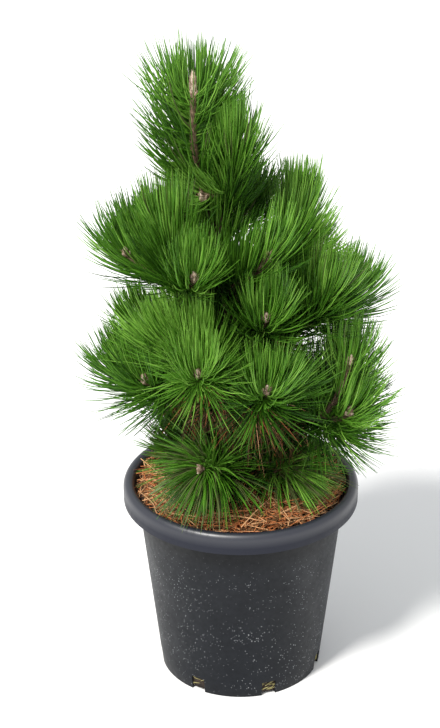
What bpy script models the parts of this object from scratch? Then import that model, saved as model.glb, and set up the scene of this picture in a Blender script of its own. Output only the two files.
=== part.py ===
# A dwarf Bosnian pine in a round nursery pot.
# Metres, +Z up. The origin is the centre of the pot's flat underside, and -Y is the front of the plant.
# Directions round the plant are azimuths in degrees: 0 is the front, 90 the right, 180 the back and
# -90 the left.

import math
import random

import bmesh
import bpy
import numpy as np
from mathutils import Matrix, Vector

UP = Vector((0.0, 0.0, 1.0))

# Pot
POT_HEIGHT = 0.311
FOOT_RADIUS = 0.1217
WALL_SLOPE = 0.113  # how much the body widens for each metre of height
WALL = 0.0025
FLOOR = 0.004
RIM_RADIUS = 0.175
RIM_THICK = 0.017  # across the rounded top of the rim
RIM_ROUND = 0.011  # height of that rounded top
SKIRT_FOOT = 0.280  # height of the rim's lower edge
SKIRT_DRAFT = 0.0003  # how much the rim draws in at that edge
COLLAR_TOP = 0.289  # where the body turns out into the rim
POT_STEPS = 36
RIM_STEPS, RIM_INNER_STEPS = 7, 4  # across the rim's rounded top, outside and inside
NOTCHES = 7
NOTCH_WIDTH = 0.0215
NOTCH_HEIGHT = 0.024
NOTCH_DEPTH = 0.012
NOTCH_AZIMUTH = 20.0

# Soil
CLEAR = 0.0003  # touching solids keep this gap
SOIL_EDGE = 0.290  # height of the soil at the wall
SOIL_TOP = 0.299  # height of the soil round the trunk
SOIL_FLAT = 0.040  # radius of the level ground round the trunk
SOIL_SHARES = (0.4, 0.75)  # where the fall from there to the wall bends

# Trunk: the foot, and the fork where the two top shoots part
TRUNK_FOOT = Vector((0.010, 0.006, SOIL_TOP + CLEAR))
TRUNK_FORK = Vector((-0.047, 0.000, 0.735))
TRUNK_SWAY = 0.020  # how far the middle of the trunk bows to the right of the straight line
TRUNK_RADIUS = 0.0155
FORK_RADIUS = 0.0080
FLARE = 0.0085  # what the root flare adds to the radius at the soil
FLARE_HEIGHT = 0.022
FLARE_STEPS = (0.0, 0.008, 0.020, 0.042)  # heights of the rings at the flare
TRUNK_POINTS = 12  # rings above the flare

# Boughs and shoots
BOUGH_RADIUS = 0.0072
BOUGH_TIP_RADIUS = 0.0048
BOUGH_SWEEP, BOUGH_RISE = 0.55, 0.50  # where the bough's bend lies, out from the trunk and up
BOUGH_SHARES = (0.0, 0.2, 0.4, 0.6, 0.8, 0.97, 1.0)  # the last two keep the cut end square
SHOOT_RADIUS = 0.0046
SHOOT_NECK = 0.0030
SHOOT_LEAVE, SHOOT_ARRIVE = 0.36, 0.40  # how far a shoot keeps to its first and its last direction
ARRIVE_OUT = 0.20  # how far its last direction leans outwards from straight up
OUTWARDS = {"front_foot": 2.0, "right_foot": 2.2, "left_foot": 2.0, "back_foot": 1.5, "back_left_foot": 1.5}
SHOOT_SHARES = (0.0, 0.03, 0.3, 0.6, 1.0)  # of the stretch below the bud
BUD_LENGTH = 0.018
BUD_RADIUS = 0.0050
BUD_SWELL = 0.45  # share of the bud's length at which it is widest
BUD_TIP_RADIUS = 0.0014
LEADER_BUD_LENGTH = 0.034

# Needles
SEED = 43
NEEDLE_LENGTH = 0.110
NEEDLE_TIP_SHARE = 0.96  # the needles at the bud are this much of the full length
UPRIGHT_SHARE = 0.70  # and so much of it are those that lean out least
NEEDLE_RADIUS = 0.0125  # of the sunk root; each solid needle stands for a spray
NEEDLE_SPACING = 0.0054  # along the shoot
NEEDLE_FROM, NEEDLE_TO = 0.14, 0.88  # the stretch of the shoot that bears needles
LEAST_LEAN_AT_FOOT, LEAST_LEAN_AT_BUD = 36.0, 6.0  # between needle and shoot, in degrees
MOST_LEAN_AT_BUD = 70.0
HIGH_LEAN_AT_FOOT, LOW_LEAN_AT_FOOT = 56.0, 92.0  # the most, on the highest and the lowest boughs
LEAN_POWER = 0.7  # below 1, so that more of them lean far out
HIGH_LIFT, LOW_LIFT = 0.40, 0.02  # how much of straight up goes into a heading on a level shoot
HIGH_BOUGH, LOW_BOUGH = 0.56, 0.38  # the heights on the trunk at which those four hold
FOOT_LIFTS = {"front_foot": -0.08, "right_foot": -0.12, "left_foot": 0.05}  # tufts over the pot hang
BEND_AT_FOOT, BEND_AT_BUD = 0.20, 0.45  # how far a level needle's tip bends, as a share of its reach
BEND_TO_SHOOT = 0.5  # how much it bends towards the shoot and not straight up
LENGTH_SPREAD = 0.06
GOLDEN_ANGLE = 137.508
CUT_BACK = (1.0, 0.9, 0.8, 0.7, 0.58)  # shares of its length that a needle is tried at
TEST_STEPS = (0.0, 0.15, 0.30, 0.45, 0.60, 0.75, 0.88, 1.0)  # where along a needle its room is tested

# The dense heart of each tuft: rings of (share of the shoot, radius), and its two poles
CORE_RINGS = ((0.22, 0.020), (0.40, 0.038), (0.68, 0.046), (0.98, 0.040))
CORE_POLES = (0.14, 0.92)
CORE_SIDES = 7
CORE_FULL_SPAN = 0.080  # shoots shorter than this bear smaller hearts
CORE_DRAW_IN = 0.85  # each step by which a heart's corner is drawn in to its own space
CORE_LEAST = 0.004
CORE_SKIN = 0.001

# What a needle or a heart keeps clear of
LIMB = -1  # the owner of the trunk and the boughs; a mass is the owner of its shoots
SPACE_SHARES = (0.0, 0.2, 0.4, 0.6, 0.8, 1.0)
MASS_GAP = 0.0022  # between the spaces of two masses
LIMB_GAP = 0.0012
SOIL_GAP = 0.003
RIM_GAP = 0.004
RIM_ZONE = 0.012  # needles closer to the wall than this pass over the rim

LEFT_TOP_BUD = (-51, 0.128, 0.751)
FRONT_LEFT_BUD = (-17, 0.199, 0.580)

# Each bough: name, height where it leaves the trunk, then its end and the buds of its shoots,
# each as (azimuth, distance from the pot's axis, height).
BOUGHS = (
    ("second_leader", 0.690, (-90, 0.017, 0.757), ((-35, 0.026, 0.852), (-61, 0.058, 0.800))),
    ("left_upper", 0.560, (-54, 0.086, 0.635), ((-24, 0.155, 0.699), (-69, 0.171, 0.703), LEFT_TOP_BUD)),
    ("front_upper", 0.600, (-10, 0.055, 0.640), ((21, 0.107, 0.712),)),
    ("right_upper", 0.575, (100, 0.052, 0.645), ((130, 0.108, 0.720), (102, 0.100, 0.655))),
    ("right_middle", 0.490, (74, 0.082, 0.565), ((67, 0.131, 0.638), (100, 0.163, 0.600))),
    ("front_middle", 0.520, (16, 0.062, 0.572), ((15, 0.135, 0.635),)),
    ("front_left", 0.440, (-27, 0.100, 0.535), (FRONT_LEFT_BUD, (-29, 0.140, 0.604), (-48, 0.150, 0.585))),
    ("left", 0.420, (-56, 0.089, 0.480), ((-51, 0.175, 0.533), (-73, 0.180, 0.480))),
    ("front_right", 0.410, (12, 0.098, 0.490), ((12, 0.174, 0.545), (26, 0.135, 0.525))),
    ("right", 0.385, (66, 0.106, 0.428), ((66, 0.170, 0.543), (60, 0.179, 0.472), (80, 0.158, 0.408))),
    ("front_foot", 0.325, (-22, 0.052, 0.345), ((-27, 0.135, 0.389),)),
    ("right_foot", 0.322, (58, 0.042, 0.334), ((55, 0.108, 0.352),)),
    ("left_foot", 0.322, (-101, 0.052, 0.338), ((-101, 0.112, 0.362),)),
    ("left_middle", 0.470, (-104, 0.092, 0.510), ((-101, 0.158, 0.565),)),
    ("back_upper", 0.600, (-150, 0.068, 0.650), ((-162, 0.126, 0.740), (170, 0.112, 0.705))),
    ("back_left_upper", 0.530, (-124, 0.090, 0.590), ((-121, 0.164, 0.665), (-141, 0.156, 0.650))),
    ("back_right", 0.465, (145, 0.086, 0.520), ((142, 0.164, 0.588), (160, 0.170, 0.560))),
    ("back", 0.430, (-170, 0.092, 0.470), ((-170, 0.172, 0.535), (176, 0.176, 0.488))),
    ("back_left", 0.385, (-131, 0.090, 0.430), ((-128, 0.178, 0.485), (-146, 0.180, 0.460))),
    ("back_right_low", 0.350, (118, 0.100, 0.400), ((120, 0.174, 0.470), (104, 0.174, 0.438))),
    ("back_foot", 0.330, (176, 0.060, 0.352), ((180, 0.130, 0.402),)),
    ("back_left_foot", 0.340, (-130, 0.062, 0.362), ((-130, 0.140, 0.405),)),
)
LEADER_BUD = (-81, 0.065, 0.936)
LEADER_LEAVE = 0.45  # the leader keeps to the trunk's lean for longer and so bows out
LEADER_OUT = 0.0

BARK = ("bark", (0.110, 0.078, 0.058), 0.90)
NEEDLE_GREEN = ("needles", (0.070, 0.190, 0.025), 0.55)
POT_PLASTIC = ("pot_plastic", (0.040, 0.042, 0.048), 0.50)
SOIL_BROWN = ("litter", (0.300, 0.115, 0.045), 0.95)


def clear_scene():
    for thing in list(bpy.data.objects):
        bpy.data.objects.remove(thing)


def new_collection(name):
    made = bpy.data.collections.new(name)
    bpy.context.scene.collection.children.link(made)
    return made


def material(name, colour, roughness):
    made = bpy.data.materials.get(name) or bpy.data.materials.new(name)
    made.use_nodes = True
    surface = made.node_tree.nodes["Principled BSDF"]
    surface.inputs["Base Color"].default_value = (*colour, 1.0)
    surface.inputs["Roughness"].default_value = roughness
    surface.inputs["Metallic"].default_value = 0.0
    return made


def add_object(name, mesh, collection, finish=None):
    made = bpy.data.objects.new(name, mesh)
    collection.objects.link(made)
    if finish:
        mesh.materials.clear()
        mesh.materials.append(material(*finish))
    return made


def polar(azimuth, reach, height):
    """The point at this azimuth, distance from the pot's axis and height."""
    turn = math.radians(azimuth)
    return Vector((reach * math.sin(turn), -reach * math.cos(turn), height))


def along(curve, share):
    """The point at this share of a curve, and the curve's direction there.

    A curve is its start, the points that it is drawn towards, and its end."""
    points = list(curve)
    while len(points) > 2:
        points = [near.lerp(far, share) for near, far in zip(points, points[1:])]
    return points[0].lerp(points[1], share), (points[1] - points[0]).normalized()


def bend(curve, share):
    return along(curve, share)[0]


def smooth(mesh):
    mesh.shade_smooth()
    mesh.set_sharp_from_angle(angle=math.radians(40))


# Pot and soil


def body_radius(height):
    return FOOT_RADIUS + WALL_SLOPE * height


def rim_arc(half_width, rise, steps, first, last):
    """Points over the rounded rim, from the angle first to last, in degrees from the outside."""
    middle = RIM_RADIUS - RIM_THICK / 2
    spring = POT_HEIGHT - RIM_ROUND
    points = []
    for step in range(steps + 1):
        turn = math.radians(first + (last - first) * step / steps)
        points.append((middle + half_width * math.cos(turn), spring + rise * math.sin(turn)))
    return points


def pot_profile():
    """The wall's section, from the inner floor over the rim and down the outside to the underside."""
    half = RIM_THICK / 2
    inside = [(0.0, FLOOR), (body_radius(FLOOR) - WALL, FLOOR)]
    inside.append((body_radius(COLLAR_TOP) - WALL, COLLAR_TOP))
    over = rim_arc(half, RIM_ROUND, RIM_STEPS, 180, 0)
    skirt = [(RIM_RADIUS - SKIRT_DRAFT, SKIRT_FOOT), (RIM_RADIUS - WALL, SKIRT_FOOT)]
    under = rim_arc(half - WALL, RIM_ROUND - WALL, RIM_INNER_STEPS, 0, 180)
    outside = [(body_radius(COLLAR_TOP), COLLAR_TOP), (FOOT_RADIUS, 0.0), (0.0, 0.0)]
    return inside + over + skirt + under + outside


def turned(name, profile, collection, finish):
    """A profile turned about Z. It runs down the outer side, so that the faces point out."""
    mesh = bpy.data.meshes.new(name)
    edges = [(i, i + 1) for i in range(len(profile) - 1)]
    mesh.from_pydata([(radius, 0.0, height) for radius, height in profile], edges, [])
    made = add_object(name, mesh, collection, finish)
    screw = made.modifiers.new("turn", "SCREW")
    screw.steps = screw.render_steps = POT_STEPS
    screw.use_merge_vertices = True
    screw.merge_threshold = 0.00001
    screw.use_smooth_shade = True
    return made


def notch_cutters(collection):
    """Blocks that cut the drain notches out of the foot of the wall and the floor's edge."""
    for index in range(NOTCHES):
        azimuth = NOTCH_AZIMUTH + 360.0 * index / NOTCHES
        mesh = bpy.data.meshes.new(f"notch_{index}")
        shape = bmesh.new()
        bmesh.ops.create_cube(shape, size=1.0)
        size = Matrix.Diagonal((NOTCH_WIDTH, 2 * NOTCH_DEPTH, 2 * NOTCH_HEIGHT, 1.0))
        place = Matrix.Translation(polar(azimuth, FOOT_RADIUS, 0.0))
        turn = Matrix.Rotation(math.radians(azimuth), 4, "Z")
        bmesh.ops.transform(shape, matrix=place @ turn @ size, verts=shape.verts)
        shape.to_mesh(mesh)
        shape.free()
        cutter = add_object(mesh.name, mesh, collection)
        cutter.hide_render = True
        cutter.display_type = "WIRE"


def build_pot(parts, cutters):
    pot = turned("pot", pot_profile(), parts, POT_PLASTIC)
    notch_cutters(cutters)
    cut = pot.modifiers.new("drain_notches", "BOOLEAN")
    cut.operation = "DIFFERENCE"
    cut.operand_type = "COLLECTION"
    cut.collection = cutters
    cut.solver = "EXACT"


def build_soil(parts):
    """The root ball: it fills the pot, with a low mound round the trunk."""
    side = WALL + 2 * CLEAR
    bottom = FLOOR + CLEAR
    profile = [(0.0, SOIL_TOP), (SOIL_FLAT, SOIL_TOP)]
    edge = body_radius(SOIL_EDGE) - side
    for share in SOIL_SHARES:
        fall = share * share * (SOIL_TOP - SOIL_EDGE)
        profile.append((SOIL_FLAT + share * (edge - SOIL_FLAT), SOIL_TOP - fall))
    profile += [(edge, SOIL_EDGE), (body_radius(bottom) - side, bottom), (0.0, bottom)]
    turned("soil", profile, parts, SOIL_BROWN)


# Limbs


def mesh_of_curve(name, points, radii, resolution):
    """A closed tapering tube along the points, as a mesh in world space."""
    data = bpy.data.curves.new(name, "CURVE")
    data.dimensions = "3D"
    data.bevel_depth = 1.0
    data.bevel_resolution = resolution
    data.use_fill_caps = True
    line = data.splines.new("POLY")
    line.points.add(len(points) - 1)
    for spot, point, radius in zip(line.points, points, radii):
        spot.co = (*point, 1.0)
        spot.radius = radius
    tube = bpy.data.objects.new(name, data)
    bpy.context.scene.collection.objects.link(tube)
    evaluated = tube.evaluated_get(bpy.context.evaluated_depsgraph_get())
    mesh = bpy.data.meshes.new_from_object(evaluated)
    mesh.name = name
    bpy.data.objects.remove(tube)
    shape = bmesh.new()
    shape.from_mesh(mesh)
    bmesh.ops.remove_doubles(shape, verts=shape.verts, dist=0.00001)
    bmesh.ops.recalc_face_normals(shape, faces=shape.faces)
    shape.to_mesh(mesh)
    shape.free()
    return mesh


def trunk_point(height):
    """A point on the trunk's axis, which leans left and bows a little to the right."""
    share = (height - TRUNK_FOOT.z) / (TRUNK_FORK.z - TRUNK_FOOT.z)
    point = TRUNK_FOOT.lerp(TRUNK_FORK, share)
    point.x += TRUNK_SWAY * math.sin(math.pi * share) * share
    return point


def trunk_radius(height):
    share = (height - TRUNK_FOOT.z) / (TRUNK_FORK.z - TRUNK_FOOT.z)
    taper = TRUNK_RADIUS + (FORK_RADIUS - TRUNK_RADIUS) * share
    return taper + FLARE * math.exp(-(height - TRUNK_FOOT.z) / FLARE_HEIGHT)


def trunk_line():
    """Heights closer together at the root flare, then even up to the fork."""
    heights = [TRUNK_FOOT.z + step for step in FLARE_STEPS]
    above = (TRUNK_FORK.z - heights[-1]) / TRUNK_POINTS
    heights += [heights[-1] + above * i for i in range(1, TRUNK_POINTS + 1)]
    points = [trunk_point(height) for height in heights]
    points[1].xy = points[0].xy  # the flat cut stays level
    return points, [trunk_radius(height) for height in heights]


def bough_curve(leaves, end):
    """A bough leaves the trunk outwards and then sweeps up to its end."""
    start = trunk_point(leaves)
    control = start + (end - start) * BOUGH_SWEEP
    control.z = start.z + (end.z - start.z) * BOUGH_RISE
    return start, control, end


def shoot_curve(start, heading, bud, outwards, leave=SHOOT_LEAVE):
    """A shoot leaves its bough in the bough's own direction and comes up to its bud from below."""
    span = (bud - start).length
    arrive = (UP + Vector((bud.x, bud.y, 0.0)).normalized() * outwards).normalized()
    return start, start + heading * span * leave, bud - arrive * span * SHOOT_ARRIVE, bud


# The space of each mass


class Space:
    """All limbs and shoots as straight stretches, to tell whose space a point lies in."""

    def __init__(self):
        self.starts, self.ends, self.radii, self.owners = [], [], [], []

    def add(self, line, radii, owner):
        for index in range(len(line) - 1):
            self.starts.append(line[index])
            self.ends.append(line[index + 1])
            self.radii.append(max(radii[index], radii[index + 1]))
            self.owners.append(owner)

    def close(self):
        self.starts, self.ends = np.array(self.starts), np.array(self.ends)
        self.radii, self.owners = np.array(self.radii), np.array(self.owners)

    def distances(self, points):
        """Distance from each point to each stretch."""
        points = np.asarray(points, float)[:, None, :]
        run = self.ends - self.starts
        share = ((points - self.starts) * run).sum(2) / (run * run).sum(1)
        near = self.starts + np.clip(share, 0, 1)[..., None] * run
        return np.linalg.norm(points - near, axis=2)

    def holds(self, owner, points, half_width):
        """True for each point that lies in this mass's space, clear of limbs, soil and rim."""
        away = self.distances(points)
        limb = self.owners == LIMB
        own = away[:, self.owners == owner].min(1)
        others = away[:, ~limb & (self.owners != owner)].min(1)
        limbs = (away[:, limb] - self.radii[limb]).min(1)
        points = np.asarray(points, float)
        reach = np.hypot(points[:, 0], points[:, 1])
        at_rim = reach > body_radius(SOIL_EDGE) - RIM_ZONE
        ground = np.where(at_rim, POT_HEIGHT + RIM_GAP, SOIL_TOP + SOIL_GAP)
        apart = others - own > 2 * half_width + MASS_GAP
        return apart & (limbs > half_width + LIMB_GAP) & (points[:, 2] > ground + half_width)


# Masses of needles


def core_mesh(curve, space, owner):
    """The dense heart of a tuft: rings round the shoot, drawn in where they would leave the space."""
    mesh = bpy.data.meshes.new("heart")
    shape = bmesh.new()
    rings = []
    span = curve[-1] - curve[0]
    reference = span.orthogonal()
    for share, radius in CORE_RINGS:
        radius *= min(1.0, span.length / CORE_FULL_SPAN)
        middle, heading = along(curve, share)
        across = heading.cross(reference).normalized()
        side = across.cross(heading)
        ring = []
        for step in range(CORE_SIDES):
            turn = 2 * math.pi * step / CORE_SIDES
            spoke = side * math.cos(turn) + across * math.sin(turn)
            reach = radius
            while reach > CORE_LEAST and not space.holds(owner, [middle + spoke * reach], CORE_SKIN)[0]:
                reach *= CORE_DRAW_IN
            ring.append(shape.verts.new(middle + spoke * reach))
        rings.append(ring)
    foot, tip = (shape.verts.new(bend(curve, share)) for share in CORE_POLES)
    for step in range(CORE_SIDES):
        after = (step + 1) % CORE_SIDES
        shape.faces.new((foot, rings[0][after], rings[0][step]))
        shape.faces.new((tip, rings[-1][step], rings[-1][after]))
        for low, high in zip(rings, rings[1:]):
            shape.faces.new((low[step], low[after], high[after], high[step]))
    bmesh.ops.triangulate(shape, faces=shape.faces)
    bmesh.ops.recalc_face_normals(shape, faces=shape.faces)
    shape.to_mesh(mesh)
    shape.free()
    return mesh


def needle_mesh(root, heading, length):
    """A three-sided needle with its point at length."""
    mesh = bpy.data.meshes.new("needle")
    shape = bmesh.new()
    bmesh.ops.create_cone(shape, cap_ends=True, segments=3, radius1=NEEDLE_RADIUS, radius2=0.0, depth=length)
    place = Matrix.Translation(root + heading * length / 2)
    turn = heading.to_track_quat("Z", "Y").to_matrix().to_4x4()
    bmesh.ops.transform(shape, matrix=place @ turn, verts=shape.verts)
    shape.to_mesh(mesh)
    shape.free()
    return mesh


def habit(leaves):
    """The lift and the widest lean of the needles on a bough that leaves the trunk at this height."""
    high = min(max((leaves - LOW_BOUGH) / (HIGH_BOUGH - LOW_BOUGH), 0.0), 1.0)
    lift = LOW_LIFT + (HIGH_LIFT - LOW_LIFT) * high
    return lift, LOW_LEAN_AT_FOOT + (HIGH_LEAN_AT_FOOT - LOW_LEAN_AT_FOOT) * high


def needle_headings(curve, lift, wide, dice):
    """Roots, directions and lengths of a shoot's needles, wound round it by the golden angle."""
    found = []
    turn = dice.uniform(0, 360)
    count = round((curve[-1] - curve[0]).length / NEEDLE_SPACING)
    for index in range(count):
        share = (index + 0.5) / count
        root, axis = along(curve, NEEDLE_FROM + (NEEDLE_TO - NEEDLE_FROM) * share)
        side = axis.orthogonal().normalized()
        turn += GOLDEN_ANGLE
        spoke = Matrix.Rotation(math.radians(turn), 3, axis) @ side
        least = LEAST_LEAN_AT_FOOT + (LEAST_LEAN_AT_BUD - LEAST_LEAN_AT_FOOT) * share
        most = wide + (MOST_LEAN_AT_BUD - wide) * share
        outward = dice.random() ** LEAN_POWER
        lean = math.radians(least + (most - least) * outward)
        level = math.hypot(axis.x, axis.y)
        heading = (axis * math.cos(lean) + spoke * math.sin(lean) + UP * lift * level).normalized()
        pull = UP * math.copysign(1, lift) + axis * BEND_TO_SHOOT
        pull -= heading * pull.dot(heading)
        bent = heading + pull * (BEND_AT_FOOT + (BEND_AT_BUD - BEND_AT_FOOT) * share)
        length = NEEDLE_LENGTH * (1 + (NEEDLE_TIP_SHARE - 1) * share) * (1 - dice.uniform(0, LENGTH_SPREAD))
        length *= UPRIGHT_SHARE + (1 - UPRIGHT_SHARE) * outward
        found.append((root, bent.normalized(), length))
    return found


def fitted_length(root, heading, length, space, owner):
    """The length that keeps a needle in its mass's space, or none."""
    for share in CUT_BACK:
        reach = length * share
        points = [root + heading * reach * step for step in TEST_STEPS]
        widths = np.array([NEEDLE_RADIUS * (1 - step) for step in TEST_STEPS])
        if space.holds(owner, points, widths).all():
            return reach
    return None


def twig_mesh(curve, bud_length):
    """A shoot with its bud: it narrows to a neck, swells and comes to a point."""
    neck = 1.0 - bud_length / (curve[-1] - curve[0]).length
    shares = [share * neck for share in SHOOT_SHARES] + [neck + (1 - neck) * BUD_SWELL, 1.0]
    radii = [SHOOT_RADIUS] * (len(SHOOT_SHARES) - 1) + [SHOOT_NECK, BUD_RADIUS, BUD_TIP_RADIUS]
    return mesh_of_curve("twig", [bend(curve, share) for share in shares], radii, 0)


def keep_outer_body(mesh):
    """Keep only the shell with the most faces: sealed hollows are filled and loose scraps dropped."""
    shape = bmesh.new()
    shape.from_mesh(mesh)
    bmesh.ops.triangulate(shape, faces=shape.faces)
    left = set(shape.faces)
    shells = []
    while left:
        shell, open_faces = set(), [next(iter(left))]
        while open_faces:
            face = open_faces.pop()
            if face in shell:
                continue
            shell.add(face)
            for edge in face.edges:
                open_faces.extend(near for near in edge.link_faces if near not in shell)
        left -= shell
        shells.append(shell)
    shells.sort(key=len)
    bmesh.ops.delete(shape, geom=[face for shell in shells[:-1] for face in shell], context="FACES")
    shape.to_mesh(mesh)
    shape.free()


def build_mass(name, owner, curves, bud_length, lift, wide, space, parts):
    """The shoots of one bough with their needles, fused into one solid."""
    dice = random.Random(SEED + owner)
    pieces = new_collection(name + "_pieces")
    for curve in curves:
        add_object("twig", twig_mesh(curve, bud_length), pieces)
        add_object("heart", core_mesh(curve, space, owner), pieces)
        for root, heading, length in needle_headings(curve, lift, wide, dice):
            reach = fitted_length(root, heading, length, space, owner)
            if reach:
                add_object("needle", needle_mesh(root, heading, reach), pieces)
    first = pieces.objects[0]
    pieces.objects.unlink(first)
    first.name = name
    first.data.name = name
    parts.objects.link(first)
    join = first.modifiers.new("fuse", "BOOLEAN")
    join.operation = "UNION"
    join.operand_type = "COLLECTION"
    join.collection = pieces
    join.solver = "EXACT"
    fused = bpy.data.meshes.new_from_object(first.evaluated_get(bpy.context.evaluated_depsgraph_get()))
    first.modifiers.remove(join)
    first.data = fused
    fused.name = name
    keep_outer_body(fused)
    fused.materials.clear()
    fused.materials.append(material(*NEEDLE_GREEN))
    for piece in list(pieces.objects):
        bpy.data.objects.remove(piece)
    bpy.data.collections.remove(pieces)


# The whole tree


def build_limb(name, points, radii, resolution, parts, cutter=None):
    mesh = mesh_of_curve(name, points, radii, resolution)
    smooth(mesh)
    limb = add_object(name, mesh, parts, BARK)
    if cutter:
        cut = limb.modifiers.new("seat_on_trunk", "BOOLEAN")
        cut.operation = "DIFFERENCE"
        cut.object = cutter
        cut.solver = "EXACT"
    return limb


def build_tree(parts, cutters):
    trunk_points, trunk_radii = trunk_line()
    build_limb("trunk", trunk_points, trunk_radii, 3, parts)
    grown = [radius + CLEAR for radius in trunk_radii]
    seat = add_object("trunk_seat", mesh_of_curve("trunk_seat", trunk_points, grown, 3), cutters)
    seat.hide_render = True
    seat.display_type = "WIRE"

    space = Space()
    space.add(trunk_points, trunk_radii, LIMB)
    masses = []
    for owner, (name, leaves, end, buds) in enumerate(BOUGHS):
        curve = bough_curve(leaves, polar(*end))
        points = [bend(curve, share) for share in BOUGH_SHARES]
        radii = [BOUGH_RADIUS + (BOUGH_TIP_RADIUS - BOUGH_RADIUS) * share for share in BOUGH_SHARES]
        build_limb("bough_" + name, points, radii, 1, parts, seat)
        space.add(points, radii, LIMB)
        end, heading = along(curve, 1.0)
        outwards = OUTWARDS.get(name, ARRIVE_OUT)
        curves = [shoot_curve(end + heading * CLEAR, heading, polar(*bud), outwards) for bud in buds]
        lift, wide = habit(leaves)
        masses.append(("needles_" + name, owner, curves, BUD_LENGTH, FOOT_LIFTS.get(name, lift), wide))
    heading = (trunk_points[-1] - trunk_points[-2]).normalized()
    start = trunk_points[-1] + heading * CLEAR
    leader = shoot_curve(start, heading, polar(*LEADER_BUD), LEADER_OUT, LEADER_LEAVE)
    masses.append(("needles_leader", len(BOUGHS), [leader], LEADER_BUD_LENGTH, *habit(TRUNK_FORK.z)))
    for _, owner, curves, *_ in masses:
        for curve in curves:
            line = [bend(curve, share) for share in SPACE_SHARES]
            space.add(line, [SHOOT_RADIUS] * len(line), owner)
    space.close()
    for name, owner, curves, bud_length, lift, wide in masses:
        build_mass(name, owner, curves, bud_length, lift, wide, space, parts)


def main():
    clear_scene()
    parts = new_collection("potted_bosnian_pine")
    cutters = new_collection("cutters")
    notches = new_collection("notches")
    build_pot(parts, notches)
    build_soil(parts)
    build_tree(parts, cutters)


main()
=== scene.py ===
# %% [markdown]
# # A dwarf Bosnian pine in its nursery pot
# This lesson dresses the plain solids of a potted pine. The solids say where the pot, the trunk, the
# boughs and the tufts are. Here each of them gets the surface that the eye expects: moulded plastic,
# scaly bark, buds, thousands of thin needles, and the brown ones that have dropped.
# The plant stands on the floor at the origin, -Y is its front, and every size is in metres.

import math

import bmesh
import bpy
import numpy as np
from mathutils import Matrix, Vector, noise


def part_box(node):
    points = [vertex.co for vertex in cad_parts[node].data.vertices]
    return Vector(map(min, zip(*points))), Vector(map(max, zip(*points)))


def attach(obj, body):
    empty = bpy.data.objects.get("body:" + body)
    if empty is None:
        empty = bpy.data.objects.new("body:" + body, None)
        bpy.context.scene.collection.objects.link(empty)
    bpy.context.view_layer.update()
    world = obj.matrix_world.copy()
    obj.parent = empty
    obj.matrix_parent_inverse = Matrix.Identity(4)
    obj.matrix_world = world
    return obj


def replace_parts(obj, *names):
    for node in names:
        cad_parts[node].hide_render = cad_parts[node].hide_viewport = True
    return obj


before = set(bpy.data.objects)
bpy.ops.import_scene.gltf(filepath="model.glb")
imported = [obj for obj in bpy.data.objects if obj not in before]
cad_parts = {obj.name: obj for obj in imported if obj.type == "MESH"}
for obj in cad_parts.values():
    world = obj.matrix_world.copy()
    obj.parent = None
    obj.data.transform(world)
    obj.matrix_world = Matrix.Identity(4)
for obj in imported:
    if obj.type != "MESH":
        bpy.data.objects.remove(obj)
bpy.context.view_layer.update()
UP = Vector((0, 0, 1))
print("solids:", len(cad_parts))

# %% [markdown]
# ## The camera
# The photograph looks down at the plant by a quarter of a right angle or so, from chest height and
# through a long lens. Such a view is found from the pot: its rim is a circle, so the shape of the
# ellipse gives the tilt, and the size of the foot against the rim gives the distance.

# %% Place the camera
CAMERA_BACK = 2.44
CAMERA_HEIGHT = 1.652
CAMERA_TILT = 25.35  # degrees below level
CAMERA_LENS = 92.25  # millimetres, on a sensor 36 mm long
FRAME_LONG_SIDE = 728  # pixels
PLANT_OFF_CENTRE = 20.8  # pixels by which the plant stands to the right of the frame's middle

camera = bpy.data.cameras.new("camera")
camera.lens = CAMERA_LENS
camera.shift_x = -PLANT_OFF_CENTRE / FRAME_LONG_SIDE
camera_object = bpy.data.objects.new("camera", camera)
camera_object.location = (0, -CAMERA_BACK, CAMERA_HEIGHT)
camera_object.rotation_euler = (math.radians(90 - CAMERA_TILT), 0, 0)
bpy.context.scene.collection.objects.link(camera_object)
bpy.context.scene.camera = camera_object
print("camera:", tuple(round(part, 2) for part in camera_object.location))

# %% [markdown]
# ## Light and floor
# Needles need two kinds of light. A pale sky fills the shadows between them, and one broad lamp high
# on the left gives each needle a bright side and a dark side, which is what makes a tuft look deep.
# The floor is plain and nearly white, so that it throws some light back up under the pot's rim.

# %% Light the scene
SKY_STRENGTH = 0.80
SUN_STRENGTH = 4.2
SUN_SPREAD = 12  # degrees; a wide sun has soft shadows
SUN_HEIGHT, SUN_SIDE = 52, -38  # degrees above level, and to the left of the camera
FLOOR_SIZE = 30

world = bpy.data.worlds.new("studio")
world.use_nodes = True
sky = world.node_tree.nodes["Background"]
sky.inputs["Color"].default_value = (0.97, 0.985, 1.0, 1)
sky.inputs["Strength"].default_value = SKY_STRENGTH
bpy.context.scene.world = world
bpy.context.scene.view_settings.view_transform = "Standard"

sun = bpy.data.lights.new("sun", "SUN")
sun.energy = SUN_STRENGTH
sun.angle = math.radians(SUN_SPREAD)
sun.color = (1.0, 0.975, 0.93)
sun_object = bpy.data.objects.new("sun", sun)
sun_object.rotation_euler = (math.radians(90 - SUN_HEIGHT), 0, math.radians(SUN_SIDE))
bpy.context.scene.collection.objects.link(sun_object)
print("sun:", SUN_STRENGTH, "sky:", SKY_STRENGTH)


# %% [markdown]
# ## Helpers for nodes
# A material here is one Principled BSDF. Patterns that several materials share are node groups, each
# with named inputs, so the same mottling can be fine on plastic and coarse on soil. A group only
# gives colours, masks and heights. The shader itself stays in the material.

# %% Write the helpers for nodes
FLOAT, COLOUR, VECTOR = "NodeSocketFloat", "NodeSocketColor", "NodeSocketVector"


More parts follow.
